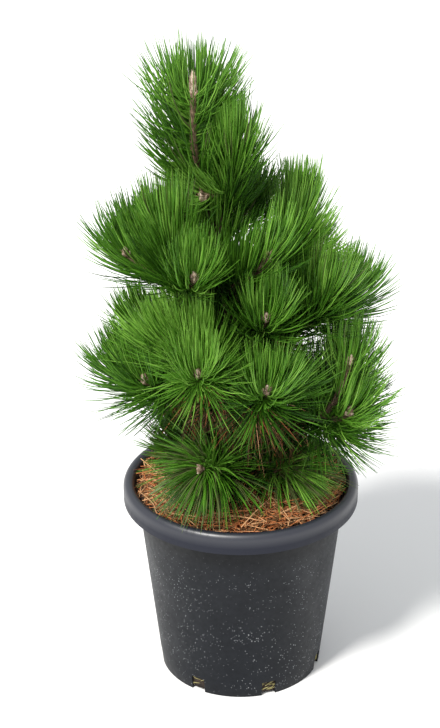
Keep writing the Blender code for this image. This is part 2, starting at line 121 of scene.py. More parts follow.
def add(tree, kind, links=(), **settings):
    """A new node, its settings, and its inputs, each linked to a socket or set to a value."""
    made = tree.nodes.new(kind)
    for name, value in settings.items():
        setattr(made, name, value)
    for key, source in dict(links).items():
        if isinstance(source, bpy.types.NodeSocket):
            tree.links.new(source, made.inputs[key])
        else:
            made.inputs[key].default_value = source
    return made


def maths(tree, operation, first, second):
    """The result of one sum on two sockets or plain numbers."""
    return add(tree, "ShaderNodeMath", {0: first, 1: second}, operation=operation).outputs[0]


def remap(tree, value, low, high, to_low=0.0, to_high=1.0):
    """A number that runs from to_low to to_high while the value runs from low to high."""
    return add(tree, "ShaderNodeMapRange", {0: value, 1: low, 2: high, 3: to_low, 4: to_high}).outputs[0]


def mix(tree, share, first, second):
    return add(tree, "ShaderNodeMix", {0: share, 2: first, 3: second}).outputs[0]


def mix_colours(tree, share, first, second):
    return add(tree, "ShaderNodeMix", {0: share, 6: first, 7: second}, data_type="RGBA").outputs[2]


def noise_at(tree, place, scale, detail=2.0):
    links = {"Vector": place, "Scale": scale, "Detail": detail}
    return add(tree, "ShaderNodeTexNoise", links).outputs["Fac"]


def new_group(name, kind, inputs, outputs):
    """A node group, with the sockets that it is given and those that it fills."""
    tree = bpy.data.node_groups.new(name, kind)
    for label, socket_type, value in inputs:
        socket = tree.interface.new_socket(label, in_out="INPUT", socket_type=socket_type)
        if value is not None:
            socket.default_value = value
    for label, socket_type in outputs:
        tree.interface.new_socket(label, in_out="OUTPUT", socket_type=socket_type)
    return tree, add(tree, "NodeGroupInput").outputs, add(tree, "NodeGroupOutput").inputs


def new_material(name, colour, roughness, specular=0.5):
    made = bpy.data.materials.new(name)
    made.use_nodes = True
    surface = made.node_tree.nodes["Principled BSDF"]
    surface.inputs["Base Color"].default_value = (*colour, 1)
    surface.inputs["Roughness"].default_value = roughness
    surface.inputs["Specular IOR Level"].default_value = specular
    return made, made.node_tree, surface


# %% [markdown]
# Mottling is the first shared pattern. Two noises, one broad and one fine, mix a dark and a light
# colour, and the same two give the height and the roughness, so a dark hollow is also a rough one.

# %% Build the mottling group
FINER = 6.0  # scale of the fine noise against the broad one

mottle, given, filled = new_group(
    "mottle",
    "ShaderNodeTree",
    [
        ("Vector", VECTOR, None),
        ("Dark", COLOUR, (0.1, 0.1, 0.1, 1)),
        ("Light", COLOUR, (0.5, 0.5, 0.5, 1)),
        ("Scale", FLOAT, 100.0),
        ("Contrast", FLOAT, 0.25),
        ("Smooth", FLOAT, 0.4),
        ("Rough", FLOAT, 0.7),
    ],
    [("Color", COLOUR), ("Roughness", FLOAT), ("Height", FLOAT)],
)
broad = noise_at(mottle, given["Vector"], given["Scale"], 4.0)
fine = noise_at(mottle, given["Vector"], maths(mottle, "MULTIPLY", given["Scale"], FINER), 3.0)
level = maths(mottle, "MULTIPLY", maths(mottle, "ADD", broad, fine), 0.5)
low = maths(mottle, "SUBTRACT", 0.5, given["Contrast"])
high = maths(mottle, "ADD", 0.5, given["Contrast"])
light = remap(mottle, level, low, high)
mottle.links.new(mix_colours(mottle, light, given["Dark"], given["Light"]), filled["Color"])
mottle.links.new(remap(mottle, light, 0.0, 1.0, given["Rough"], given["Smooth"]), filled["Roughness"])
mottle.links.new(level, filled["Height"])
print("group:", mottle.name)

# %% [markdown]
# Dust is the second one. A Voronoi pattern puts one dot in each cell. The cell's own random number
# and a broad noise decide how large the dot may be, so that in most cells it vanishes and in a few it
# is a clear speck. That is how splashed grit sits on a pot: thicker in some patches than in others.

# %% Build the dust group
THIN_PATCH, THICK_PATCH = 0.36, 0.62  # of the broad noise
THIN_LUCK = 0.84  # how much of its luck a cell keeps in a thin patch
LEAST_LUCK = 0.64  # below this a cell has no dot
DOT_CORE = 0.6  # of the dot's radius, before its soft edge begins

dust, given, filled = new_group(
    "dust_specks",
    "ShaderNodeTree",
    [("Vector", VECTOR, None), ("Scale", FLOAT, 300.0), ("Amount", FLOAT, 0.2), ("Patches", FLOAT, 12.0)],
    [("Mask", FLOAT)],
)
cells = add(dust, "ShaderNodeTexVoronoi", {"Vector": given["Vector"], "Scale": given["Scale"]}).outputs
chance = add(dust, "ShaderNodeSeparateColor", {0: cells["Color"]}).outputs[0]
patches = noise_at(dust, given["Vector"], given["Patches"], 5.0)
luck = maths(dust, "MULTIPLY", chance, remap(dust, patches, THIN_PATCH, THICK_PATCH, THIN_LUCK, 1.0))
size = remap(dust, luck, LEAST_LUCK, 1.0, 0.0, given["Amount"])
dot = remap(dust, cells["Distance"], maths(dust, "MULTIPLY", size, DOT_CORE), size, 1.0, 0.0)
dust.links.new(dot, filled["Mask"])
print("group:", dust.name)


# %% [markdown]
# ## Materials of the pot
# The plastic is a dark slate with a slight blue in it. It is moulded with a fine grain, rubbed
# smoother on the rim, and flecked with pale grit that watering has splashed on the body. Painted
# shade makes the body darker close under the rim, and a painted highlight makes the skirt and rim
# lighter and bluer.

# %% Make the pot's plastic
POT_DARK, POT_LIGHT = (0.0040, 0.0052, 0.0076), (0.0090, 0.0112, 0.0155)
# painted highlight: the skirt and rim get this lighter, bluer colour, as if the sky were reflected on them
RIM_PAINTED_HIGHLIGHT = (0.016, 0.018, 0.028, 1)
GRIT = (0.40, 0.42, 0.44, 1)
GRIT_SIZES = ((430, 0.40, 14), (150, 0.16, 8))  # cells a metre, size of a dot, patches a metre
DUST_TOP, DUST_FADE = 0.262, 0.05  # the body is dusty up to here, and fully so this much lower
PAINTED_SHADE_FROM, PAINTED_SHADE_TO = 0.225, 0.279  # heights between which painted shade darkens the body under the skirt
# the share of the body's colour that is left at the skirt's foot, under the painted shade
PAINTED_SHADE = 0.25
RIM_SHINE_FROM, RIM_SHINE_TO = 0.289, 0.304  # heights over which the rim gets smoother, where hands rub it
BODY_SHINE, RIM_SHINE = 0.16, 0.75
RIM_ROUGHNESS = 0.40


def mottled(name, dark, light, scale, contrast, smooth, rough, relief, depth, stretch=(1, 1, 1), shine=0.5):
    """A material whose colour, roughness and relief all come from the mottling."""
    made, tree, surface = new_material(name, light, rough, shine)
    place = add(tree, "ShaderNodeTexCoord").outputs["Object"]
    place = add(tree, "ShaderNodeMapping", {"Vector": place, "Scale": stretch}).outputs[0]
    links = {"Vector": place, "Dark": (*dark, 1), "Light": (*light, 1), "Scale": scale}
    links |= {"Contrast": contrast, "Smooth": smooth, "Rough": rough}
    pattern = add(tree, "ShaderNodeGroup", links, node_tree=mottle).outputs
    links = {"Height": pattern["Height"], "Strength": relief, "Distance": depth}
    bump = add(tree, "ShaderNodeBump", links)
    tree.links.new(pattern["Color"], surface.inputs["Base Color"])
    tree.links.new(pattern["Roughness"], surface.inputs["Roughness"])
    tree.links.new(bump.outputs["Normal"], surface.inputs["Normal"])
    return made, tree, surface.inputs, place, pattern


pot_plastic, tree, surface, place, pattern = mottled(
    "pot_plastic", POT_DARK, POT_LIGHT, 22, 0.28, 0.38, 0.60, 0.25, 0.0006, shine=0.20
)
height = add(tree, "ShaderNodeSeparateXYZ", {0: place}).outputs["Z"]
on_rim = remap(tree, height, RIM_SHINE_FROM, RIM_SHINE_TO)
tree.links.new(remap(tree, on_rim, 0.0, 1.0, BODY_SHINE, RIM_SHINE), surface["Specular IOR Level"])
tree.links.new(mix(tree, on_rim, pattern["Roughness"], RIM_ROUGHNESS), surface["Roughness"])
masks = []
for scale, amount, patches in GRIT_SIZES:
    links = {"Vector": place, "Scale": scale, "Amount": amount, "Patches": patches}
    masks.append(add(tree, "ShaderNodeGroup", links, node_tree=dust).outputs["Mask"])
dusty = remap(tree, height, DUST_TOP, DUST_TOP - DUST_FADE)
specks = maths(tree, "MULTIPLY", maths(tree, "MAXIMUM", *masks), dusty)
on_skirt = maths(tree, "GREATER_THAN", height, PAINTED_SHADE_TO)
colour = mix_colours(tree, specks, pattern["Color"], GRIT)
# painted highlight: the lighter, bluer colour takes the place of the mottling on the skirt and rim
colour = mix_colours(tree, on_skirt, colour, RIM_PAINTED_HIGHLIGHT)
# painted shade: the body's colour grows darker upwards towards the skirt, where the rim's shadow falls
shade = mix(tree, on_skirt, remap(tree, height, PAINTED_SHADE_FROM, PAINTED_SHADE_TO, 1.0, PAINTED_SHADE), 1.0)
shaded = add(tree, "ShaderNodeVectorMath", {0: colour, "Scale": shade}, operation="SCALE").outputs[0]
tree.links.new(shaded, surface["Base Color"])
print("material:", pot_plastic.name)


# %% [markdown]
# ## Materials of the plant
# Bark is grey-brown and cracked lengthways, so its mottling is stretched along the stem. A bud is
# wrapped in papery scales, cream where resin has dried on them and pinkish brown between. The soil
# is dark and crumbly. Each row below has the dark and the light colour, then the pattern's scale and
# contrast, the smooth and the rough value, and the strength and the depth of the relief.

# %% Make the plant's materials
ALONG = (1, 1, 0.35)  # draws a pattern out along an upright stem
SURFACES = {
    "bark": ((0.026, 0.017, 0.012), (0.165, 0.112, 0.078), 130, 0.16, 0.75, 0.95, 0.8, 0.002, ALONG, 0.3),
    "stem_scale": ((0.075, 0.040, 0.024), (0.460, 0.320, 0.210), 190, 0.13, 0.6, 0.85, 0.4, 0.001),
    "bud_scale": ((0.300, 0.150, 0.095), (0.900, 0.780, 0.640), 240, 0.12, 0.45, 0.7, 0.4, 0.0008),
    "soil_crumb": ((0.008, 0.006, 0.004), (0.060, 0.036, 0.022), 150, 0.14, 0.85, 1.0, 1.0, 0.004),
}
bark, stem_scale, bud_scale, soil_crumb = [mottled(name, *row)[0] for name, row in SURFACES.items()]

# %% [markdown]
# The needles' tints are plain colours, because the change from one spray to the next is what the eye
# reads, and not a pattern along one needle. Each tint has a name, a colour, and how rough it is. The
# green ones differ in light and in warmth, partly the way this year's growth differs from last
# year's and partly to carry the painted light and shade that the dealing below gives. The last ones
# are for dead needles and for roots.

# %% Make the needle tints
TINTS = {
    "needles_fresh": ((0.205, 0.430, 0.055), 0.40),
    "needles_bright": ((0.112, 0.290, 0.025), 0.40),
    "needles_green": ((0.064, 0.188, 0.012), 0.40),
    "needles_deep": ((0.036, 0.120, 0.008), 0.42),
    "needles_shaded": ((0.019, 0.066, 0.005), 0.44),
    "needles_olive": ((0.105, 0.135, 0.042), 0.48),
    "litter_orange": ((0.520, 0.185, 0.065), 0.60),
    "litter_tan": ((0.760, 0.430, 0.215), 0.62),
    "litter_brown": ((0.150, 0.082, 0.034), 0.65),
    "root_thread": ((0.400, 0.360, 0.160), 0.70),
}
NEEDLE_SHINE = 0.32
WAX_SCALE, WAX_SPREAD = 55.0, 0.10


def tint(name, colour, roughness):
    """A plain colour whose gloss changes a little from place to place, as the wax on a needle does."""
    made, tree, surface = new_material(name, colour, roughness, NEEDLE_SHINE)
    place = add(tree, "ShaderNodeTexCoord").outputs["Object"]
    wax = noise_at(tree, place, WAX_SCALE)
    gloss = remap(tree, wax, 0.3, 0.7, roughness - WAX_SPREAD, roughness + WAX_SPREAD)
    tree.links.new(gloss, surface.inputs["Roughness"])
    return made


tints = {name: tint(name, *values) for name, values in TINTS.items()}
print("materials:", len(bpy.data.materials))


# %% [markdown]
# ## The pot
# A moulded pot is a turned shape, so its wall is drawn once, in section, and swept round. The rim is
# a hollow roll with a skirt, and a faint collar stands just under it. The drain notches are cut out
# of the foot afterwards, and a small bevel takes the sharpness off every edge, as a mould does.

# %% Draw the pot's section
WALL = 0.0025
FLOOR = 0.004
FOOT_RADIUS = 0.1217
WALL_SLOPE = 0.113
RIM_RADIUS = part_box("pot")[1][0]
POT_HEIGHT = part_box("pot")[1][2]
RIM_THICK = 0.017
RIM_ROUND = 0.011
SKIRT_FOOT = 0.280
SKIRT_STEP = 0.0003
COLLAR_TOP, COLLAR_FOOT = 0.289, 0.262
COLLAR_STEP, COLLAR_CHAMFER = 0.0006, 0.001
NOTCHES = 7
NOTCH_WIDTH, NOTCH_HEIGHT, NOTCH_DEPTH = 0.0215, 0.024, 0.012
NOTCH_AZIMUTH = 20.0
ABOVE_NOTCHES = NOTCH_HEIGHT + 0.003  # a ring here keeps the wall's shading even above the notches


def polar(azimuth, reach, height):
    """The point at this azimuth, distance from the pot's axis and height."""
    turn = math.radians(azimuth)
    return Vector((reach * math.sin(turn), -reach * math.cos(turn), height))


def body_radius(height):
    return FOOT_RADIUS + WALL_SLOPE * height


def rim_arc(half_width, rise, steps, first, last):
    """Points over the rounded rim, from the angle first to last, in degrees from the outside."""
    middle = RIM_RADIUS - RIM_THICK / 2
    spring = POT_HEIGHT - RIM_ROUND
    angles = [math.radians(first + (last - first) * step / steps) for step in range(steps + 1)]
    return [(middle + half_width * math.cos(turn), spring + rise * math.sin(turn)) for turn in angles]


def pot_profile():
    """The wall's section, from the inner floor over the rim and down the outside to the underside."""
    half = RIM_THICK / 2
    inside = [(0.0, FLOOR)] + [(body_radius(height) - WALL, height) for height in (FLOOR, COLLAR_TOP)]
    over = rim_arc(half, RIM_ROUND, 20, 180, 0)
    skirt = [(RIM_RADIUS - SKIRT_STEP, SKIRT_FOOT), (RIM_RADIUS - WALL, SKIRT_FOOT)]
    under = rim_arc(half - WALL, RIM_ROUND - WALL, 10, 0, 180)
    collar_ends = (COLLAR_TOP, COLLAR_FOOT + COLLAR_CHAMFER)
    collar = [(body_radius(height) + COLLAR_STEP, height) for height in collar_ends]
    foot = [(body_radius(height), height) for height in (COLLAR_FOOT, ABOVE_NOTCHES, 0.0)] + [(0.0, 0.0)]
    return inside + over + skirt + under + collar + foot


profile = pot_profile()
print("points in the pot's section:", len(profile))


# %% Write the helpers for pieces
def show(name, mesh):
    """A new object for a mesh, at the origin."""
    made = bpy.data.objects.new(name, mesh)
    bpy.context.scene.collection.objects.link(made)
    return made


def shown_shape(name, shape):
    """A new object for an edited shape, which is used up, with all faces turned outwards."""
    bmesh.ops.recalc_face_normals(shape, faces=shape.faces)
    mesh = bpy.data.meshes.new(name)
    shape.to_mesh(mesh)
    shape.free()
    mesh.shade_smooth()
    return show(name, mesh)


def settle(piece):
    """Turn a piece with modifiers into a plain mesh, and drop the modifiers."""
    plain = bpy.data.meshes.new_from_object(piece.evaluated_get(bpy.context.evaluated_depsgraph_get()))
    piece.modifiers.clear()
    piece.data = plain
    plain.name = piece.name
    return piece


def paint(piece, finish):
    """Give a piece its material and the body that it rides on."""
    piece.data.materials.clear()
    piece.data.materials.append(finish)
    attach(piece, "root")
    print(piece.name, "faces:", len(piece.data.polygons))
    return piece


# %% Turn the pot and cut its notches
POT_STEPS = 144
MERGE = 0.00001
EDGE_ROUND = 0.0007
EDGE_ANGLE, CREASE_ANGLE = 38, 50  # degrees from which an edge is rounded, and from which it shades sharp

outline = bpy.data.meshes.new("pot_shell")
outline.from_pydata([(r, 0.0, z) for r, z in profile], [(i, i + 1) for i in range(len(profile) - 1)], [])
pot = show("pot_shell", outline)
sweep = pot.modifiers.new("turn", "SCREW")
sweep.steps = sweep.render_steps = POT_STEPS
sweep.use_merge_vertices = True
sweep.merge_threshold = MERGE
settle(pot)

shape = bmesh.new()
block = Matrix.Diagonal((NOTCH_WIDTH, 2 * NOTCH_DEPTH, 2 * NOTCH_HEIGHT, 1.0))
for index in range(NOTCHES):
    azimuth = NOTCH_AZIMUTH + 360.0 * index / NOTCHES
    turn = Matrix.Rotation(math.radians(azimuth), 4, "Z")
    place = Matrix.Translation(polar(azimuth, FOOT_RADIUS, 0)) @ turn @ block
    corners = bmesh.ops.create_cube(shape, size=1.0)["verts"]
    bmesh.ops.transform(shape, matrix=place, verts=corners)
blocks = shown_shape("notch_blocks", shape)
pot.modifiers.new("notches", "BOOLEAN").object = blocks
round_off = pot.modifiers.new("round_off", "BEVEL")
round_off.width = EDGE_ROUND
round_off.segments = 2
round_off.limit_method = "ANGLE"
round_off.angle_limit = math.radians(EDGE_ANGLE)
settle(pot)
bpy.data.objects.remove(blocks)
pot.data.shade_smooth()
pot.data.set_sharp_from_angle(angle=math.radians(CREASE_ANGLE))
paint(pot, pot_plastic)
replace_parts(pot, "pot")


# %% [markdown]
# ## The limbs' rule
# The solids grow by a rule, and the fine plant has to grow by the same one or the needles would
# hang beside their twigs. The trunk leans left and bows a little. Each bough leaves it outwards and
# sweeps up, and from each bough's end one or more shoots turn up to a bud. A bough is a curve of
# three points: its start, the point it first heads for, and its end. A shoot has four. Two buds,
# one beside the second leader and one far left, stand 3 cm from the solids', as the photograph asks.

# %% Repeat the rule for trunk, boughs and shoots
CLEAR = 0.0003
SOIL_EDGE, SOIL_TOP, SOIL_FLAT = 0.290, 0.299, 0.040
TRUNK_FOOT = Vector((0.010, 0.006, SOIL_TOP + CLEAR))
TRUNK_FORK = Vector((-0.047, 0.000, 0.735))
TRUNK_SWAY = 0.020
TRUNK_RADIUS, FORK_RADIUS = 0.0155, 0.0080
FLARE, FLARE_HEIGHT = 0.0085, 0.022
BOUGH_RADIUS, BOUGH_TIP_RADIUS = 0.0072, 0.0048
BOUGH_SWEEP, BOUGH_RISE = 0.55, 0.50
SHOOT_LEAVE, SHOOT_ARRIVE = 0.36, 0.40  # how far a shoot keeps to its first and its last direction
ARRIVE_OUT = 0.20  # how far its last direction leans outwards from straight up
OUTWARDS = {"front_foot": 2.0, "right_foot": 2.2, "left_foot": 2.0}
OUTWARDS |= {"back_foot": 1.5, "back_left_foot": 1.5}
LEADER_BUD = (-81, 0.065, 0.936)
LEADER_LEAVE = 0.45

# Each bough: name, height where it leaves the trunk, then its end and the buds of its shoots,
# each as (azimuth, distance from the pot's axis, height).
BOUGHS = (
    ("second_leader", 0.690, (-90, 0.017, 0.757), ((-35, 0.026, 0.852), (-61, 0.063, 0.772))),
    ("left_upper", 0.560, (-54, 0.086, 0.635),
     ((-24, 0.155, 0.699), (-69, 0.171, 0.703), (-51, 0.128, 0.751))),
    ("front_upper", 0.600, (-10, 0.055, 0.640), ((21, 0.107, 0.712),)),
    ("right_upper", 0.575, (100, 0.052, 0.645), ((130, 0.108, 0.720), (102, 0.100, 0.655))),
    ("right_middle", 0.490, (74, 0.082, 0.565), ((67, 0.131, 0.638), (100, 0.163, 0.600))),
    ("front_middle", 0.520, (16, 0.062, 0.572), ((15, 0.135, 0.635),)),
    ("front_left", 0.440, (-27, 0.100, 0.535),
     ((-17, 0.199, 0.580), (-29, 0.140, 0.604), (-48, 0.150, 0.585))),
    ("left", 0.420, (-56, 0.089, 0.480), ((-51, 0.175, 0.533), (-73, 0.176, 0.512))),
    ("front_right", 0.410, (12, 0.098, 0.490), ((12, 0.174, 0.545), (26, 0.135, 0.525))),
    ("right", 0.385, (66, 0.106, 0.428), ((66, 0.170, 0.543), (60, 0.179, 0.472), (80, 0.158, 0.408))),
    ("front_foot", 0.325, (-22, 0.052, 0.345), ((-27, 0.135, 0.389),)),
    ("right_foot", 0.322, (58, 0.042, 0.334), ((55, 0.108, 0.352),)),
    ("left_foot", 0.322, (-101, 0.052, 0.338), ((-101, 0.112, 0.362),)),
    ("left_middle", 0.470, (-104, 0.092, 0.510), ((-101, 0.158, 0.565),)),
    ("back_upper", 0.600, (-150, 0.068, 0.650), ((-162, 0.126, 0.740), (170, 0.112, 0.705))),
    ("back_left_upper", 0.530, (-124, 0.090, 0.590), ((-121, 0.164, 0.665), (-141, 0.156, 0.650))),
    ("back_right", 0.465, (145, 0.086, 0.520), ((142, 0.164, 0.588), (160, 0.170, 0.560))),
    ("back", 0.430, (-170, 0.092, 0.470), ((-170, 0.172, 0.535), (176, 0.176, 0.488))),
    ("back_left", 0.385, (-131, 0.090, 0.430), ((-128, 0.178, 0.485), (-146, 0.180, 0.460))),
    ("back_right_low", 0.350, (118, 0.100, 0.400), ((120, 0.174, 0.470), (104, 0.174, 0.438))),
    ("back_foot", 0.330, (176, 0.060, 0.352), ((180, 0.130, 0.402),)),
    ("back_left_foot", 0.340, (-130, 0.062, 0.362), ((-130, 0.140, 0.405),)),
)


def trunk_share(height):
    return (height - TRUNK_FOOT.z) / (TRUNK_FORK.z - TRUNK_FOOT.z)


def trunk_point(height):
    """A point on the trunk's axis."""
    share = trunk_share(height)
    point = TRUNK_FOOT.lerp(TRUNK_FORK, share)
    point.x += TRUNK_SWAY * math.sin(math.pi * share) * share
    return point


def trunk_radius(height):
    taper = TRUNK_RADIUS + (FORK_RADIUS - TRUNK_RADIUS) * trunk_share(height)
    return taper + FLARE * math.exp(-(height - TRUNK_FOOT.z) / FLARE_HEIGHT)


def on_curve(curve, share):
    """Points of a curve at these shares, and its headings there, one row for each."""
    share = np.asarray(share, float).reshape(-1, 1)
    points = list(curve)
    while len(points) > 2:
        points = [a + share * (b - a) for a, b in zip(points, points[1:])]
    way = points[1] - points[0]
    return points[0] + share * way, way / np.linalg.norm(way, axis=1, keepdims=True)


def long(curve):
    """How far a curve's end lies from its start."""
    return np.linalg.norm(curve[-1] - curve[0])


def shoot_curve(start, heading, bud, outwards, leave=SHOOT_LEAVE):
    """A shoot leaves its bough in the bough's own direction and comes up to its bud from below."""
    span = (bud - start).length
    arrive = (UP + Vector((bud.x, bud.y, 0)).normalized() * outwards).normalized()
    points = (start, start + heading * span * leave, bud - arrive * span * SHOOT_ARRIVE, bud)
    return tuple(np.array(point) for point in points)


boughs, shoots = {}, []
for owner, (name, leaves, end, buds) in enumerate(BOUGHS):
    start, end = trunk_point(leaves), polar(*end)
    control = start + (end - start) * BOUGH_SWEEP
    control.z = start.z + (end.z - start.z) * BOUGH_RISE
    boughs[name] = tuple(np.array(point) for point in (start, control, end))
    way = (end - control).normalized()
    for number, bud in enumerate(buds):
        curve = shoot_curve(end + way * CLEAR, way, polar(*bud), OUTWARDS.get(name, ARRIVE_OUT))
        shoots.append((owner, f"{name}_{number}", curve))
way = (trunk_point(TRUNK_FORK.z) - trunk_point(TRUNK_FORK.z - 0.03)).normalized()
leader = shoot_curve(TRUNK_FORK + way * CLEAR, way, polar(*LEADER_BUD), 0.0, LEADER_LEAVE)
shoots.append((len(BOUGHS), "leader", leader))
print("boughs:", len(boughs), "shoots:", len(shoots))


# %% [markdown]
# ## Room for each tuft
# In a real crown two tufts lean away from each other, because needles grow where there is light. The
# rule for that is short. A point belongs to the shoot it is nearest to. A needle may reach some way
# past the halfway plane into a neighbour's room, but if it would go further it is shortened, and
# if too little of it would be left it isn't grown. It also stops short of soil and rim.

# %% Measure the room round limbs and shoots
LIMB = -1
REACH_OVER = 0.070  # how much nearer to another shoot than to its own a needle may come
MOST_REACH = 0.254  # from the pot's axis
SHY = {"second_leader_0": 0.005}  # tufts that keep to their own side
LIMB_GAP = 0.001
SOIL_GAP = 0.002
RIM_GAP = 0.002
RIM_ZONE = 0.012


def stretches():
    """Starts, ends, radii and owners of all the straight stretches that limbs and shoots are made of."""
    starts, ends, radii, owners = [], [], [], []

    def lay(points, widths, owner):
        starts.extend(points[:-1])
        ends.extend(points[1:])
        radii.extend(np.maximum(widths[:-1], widths[1:]))
        owners.extend([owner] * (len(points) - 1))

    heights = np.linspace(TRUNK_FOOT.z, TRUNK_FORK.z, 12)
    lay(np.array([trunk_point(h) for h in heights]), np.array([trunk_radius(h) for h in heights]), LIMB)
    for curve in boughs.values():
        lay(on_curve(curve, np.linspace(0, 1, 6))[0], np.linspace(BOUGH_RADIUS, BOUGH_TIP_RADIUS, 6), LIMB)
    for owner, _, curve in shoots:
        lay(on_curve(curve, np.linspace(0, 1, 6))[0], np.full(6, BOUGH_TIP_RADIUS), owner)
    return np.array(starts), np.array(ends), np.array(radii), np.array(owners)


STARTS, ENDS, RADII, OWNERS = stretches()


def has_room(points, owner, reach_over):
    """True for each point where a needle of this owner may be."""
    run = ENDS - STARTS
    share = ((points[:, None] - STARTS) * run).sum(2) / (run * run).sum(1)
    near = STARTS + np.clip(share, 0, 1)[..., None] * run
    away = np.linalg.norm(points[:, None] - near, axis=2)
    own = away[:, OWNERS == owner].min(1)
    others = away[:, (OWNERS != owner) & (OWNERS != LIMB)].min(1)
    limbs = (away[:, OWNERS == LIMB] - RADII[OWNERS == LIMB]).min(1)
    out = np.hypot(points[:, 0], points[:, 1])
    at_rim = out > body_radius(SOIL_EDGE) - RIM_ZONE
    ground = np.where(at_rim, POT_HEIGHT + RIM_GAP, SOIL_TOP + SOIL_GAP)
    return (own - others < reach_over) & (limbs > LIMB_GAP) & (points[:, 2] > ground) & (out < MOST_REACH)


print("stretches:", len(STARTS))

# %% [markdown]
# ## A tree of nodes that grows needles
# Geometry Nodes suit a thing that is made thousands of times. The script lays out one point for each
# needle and stores on it where the needle heads, which way it bends, and its length, bend and width.
# The nodes do the rest: they set a short line on each point, bend it, give it its thickness and draw
# its end out to a point. The last two nodes make the copies real and give them their material.

# %% Write the helpers for trees
GEOMETRY, INTEGER, MATERIAL = "NodeSocketGeometry", "NodeSocketInt", "NodeSocketMaterial"
POINTS, FINISH = ("Points", GEOMETRY, None), ("Material", MATERIAL, None)


def stored(tree, name, data_type="FLOAT"):
    """Read an attribute that the script has stored on the points."""
    made = add(tree, "GeometryNodeInputNamedAttribute", {"Name": name}, data_type=data_type)
    return made.outputs["Attribute"]


def set_on_points(tree, points, copied, size):
    """Copies on the points, with Z along each point's heading and X as near as it goes to its facing."""
    heading, facing = [stored(tree, name, "FLOAT_VECTOR") for name in ("heading", "facing")]
    first = add(tree, "FunctionNodeAlignRotationToVector", {"Vector": heading}, axis="Z").outputs[0]
    links = {"Rotation": first, "Vector": facing}
    turned = add(tree, "FunctionNodeAlignRotationToVector", links, axis="X", pivot_axis="Z").outputs[0]
    size = add(tree, "ShaderNodeCombineXYZ", size).outputs[0]
    links = {"Points": points, "Instance": copied, "Rotation": turned, "Scale": size}
    return add(tree, "GeometryNodeInstanceOnPoints", links).outputs[0]


def end_tree(tree, given, filled, geometry):
    """Make what is left of the copies real, and give all of it the material."""
    real = add(tree, "GeometryNodeRealizeInstances", {0: geometry}).outputs[0]
    coloured = add(tree, "GeometryNodeSetMaterial", {0: real, "Material": given["Material"]}).outputs[0]
    tree.links.new(coloured, filled["Geometry"])
    print("tree:", tree.name, "nodes:", len(tree.nodes))


# %% Build the needle tree
TAPER_POWER = 6.0  # the higher, the later a needle starts to narrow
TIP_SHARE = 0.25  # of a needle's width

tree, given, filled = new_group(
    "grow_needles",
    "GeometryNodeTree",
    [POINTS, ("Joints", INTEGER, 4), ("Sides", INTEGER, 3), FINISH],
    [("Geometry", GEOMETRY)],
)
line = add(tree, "GeometryNodeCurvePrimitiveLine", {"Start": (0, 0, 0), "End": (0, 0, 1)}).outputs[0]
line = add(tree, "GeometryNodeResampleCurve", {"Curve": line, "Count": given["Joints"]}).outputs[0]
along = add(tree, "GeometryNodeSplineParameter").outputs["Factor"]
aside = add(tree, "ShaderNodeCombineXYZ", {"X": maths(tree, "POWER", along, 2.0)}).outputs[0]
bent = add(tree, "GeometryNodeSetPosition", {"Geometry": line, "Offset": aside}).outputs[0]
size = {"X": stored(tree, "bend"), "Y": 1.0, "Z": stored(tree, "length")}
lines = set_on_points(tree, given["Points"], bent, size)
lines = add(tree, "GeometryNodeRealizeInstances", {0: lines}).outputs[0]
taper = remap(tree, maths(tree, "POWER", along, TAPER_POWER), 0.0, 1.0, 1.0, TIP_SHARE)
thick = maths(tree, "MULTIPLY", taper, stored(tree, "width"))
links = {"Resolution": given["Sides"], "Radius": 0.5}
ring = add(tree, "GeometryNodeCurvePrimitiveCircle", links).outputs[0]
links = {"Curve": lines, "Profile Curve": ring, "Scale": thick, "Fill Caps": True}
skin = add(tree, "GeometryNodeCurveToMesh", links).outputs[0]
end_tree(tree, given, filled, add(tree, "GeometryNodeSetShadeSmooth", {0: skin}).outputs[0])
needle_tree = tree


# %% Write the step that grows a piece
def grow(name, tree, roots, values, settings, finish):
    """One plain mesh from points with stored values, through a tree of nodes."""
    mesh = bpy.data.meshes.new(name)
    mesh.vertices.add(len(roots))
    mesh.vertices.foreach_set("co", np.asarray(roots, np.float32).ravel())
    for label, data in values.items():
        data = np.asarray(data, np.float32)
        kind, field = ("FLOAT_VECTOR", "vector") if data.ndim == 2 else ("FLOAT", "value")
        mesh.attributes.new(label, kind, "POINT").data.foreach_set(field, data.ravel())
    piece = show(name, mesh)
    nodes = piece.modifiers.new("grow", "NODES")
    nodes.node_group = tree
    settings = {**settings, "Material": finish}
    for item in tree.interface.items_tree:
        if item.item_type == "SOCKET" and item.in_out == "INPUT" and item.name in settings:
            nodes[item.identifier] = settings[item.name]
    paint(settle(piece), finish)
    piece.data.calc_loop_triangles()
    print(name, len(roots), "grown,", len(piece.data.loop_triangles), "triangles")
    return piece


# %% [markdown]
# ## The needles
# On a real shoot the needles come in pairs, in a spiral that turns by the golden angle from one pair
# to the next, so that none stands over another. Low on the shoot they lean far out. Round the bud
# they take every lean from nearly upright to half a right angle, and on the leader to nearly level,
# and so form a bowl with the bud in its middle. Nearly all seek the light: they lift and they bend
# upwards. Only on two tufts over the pot's edge do they hang a little.

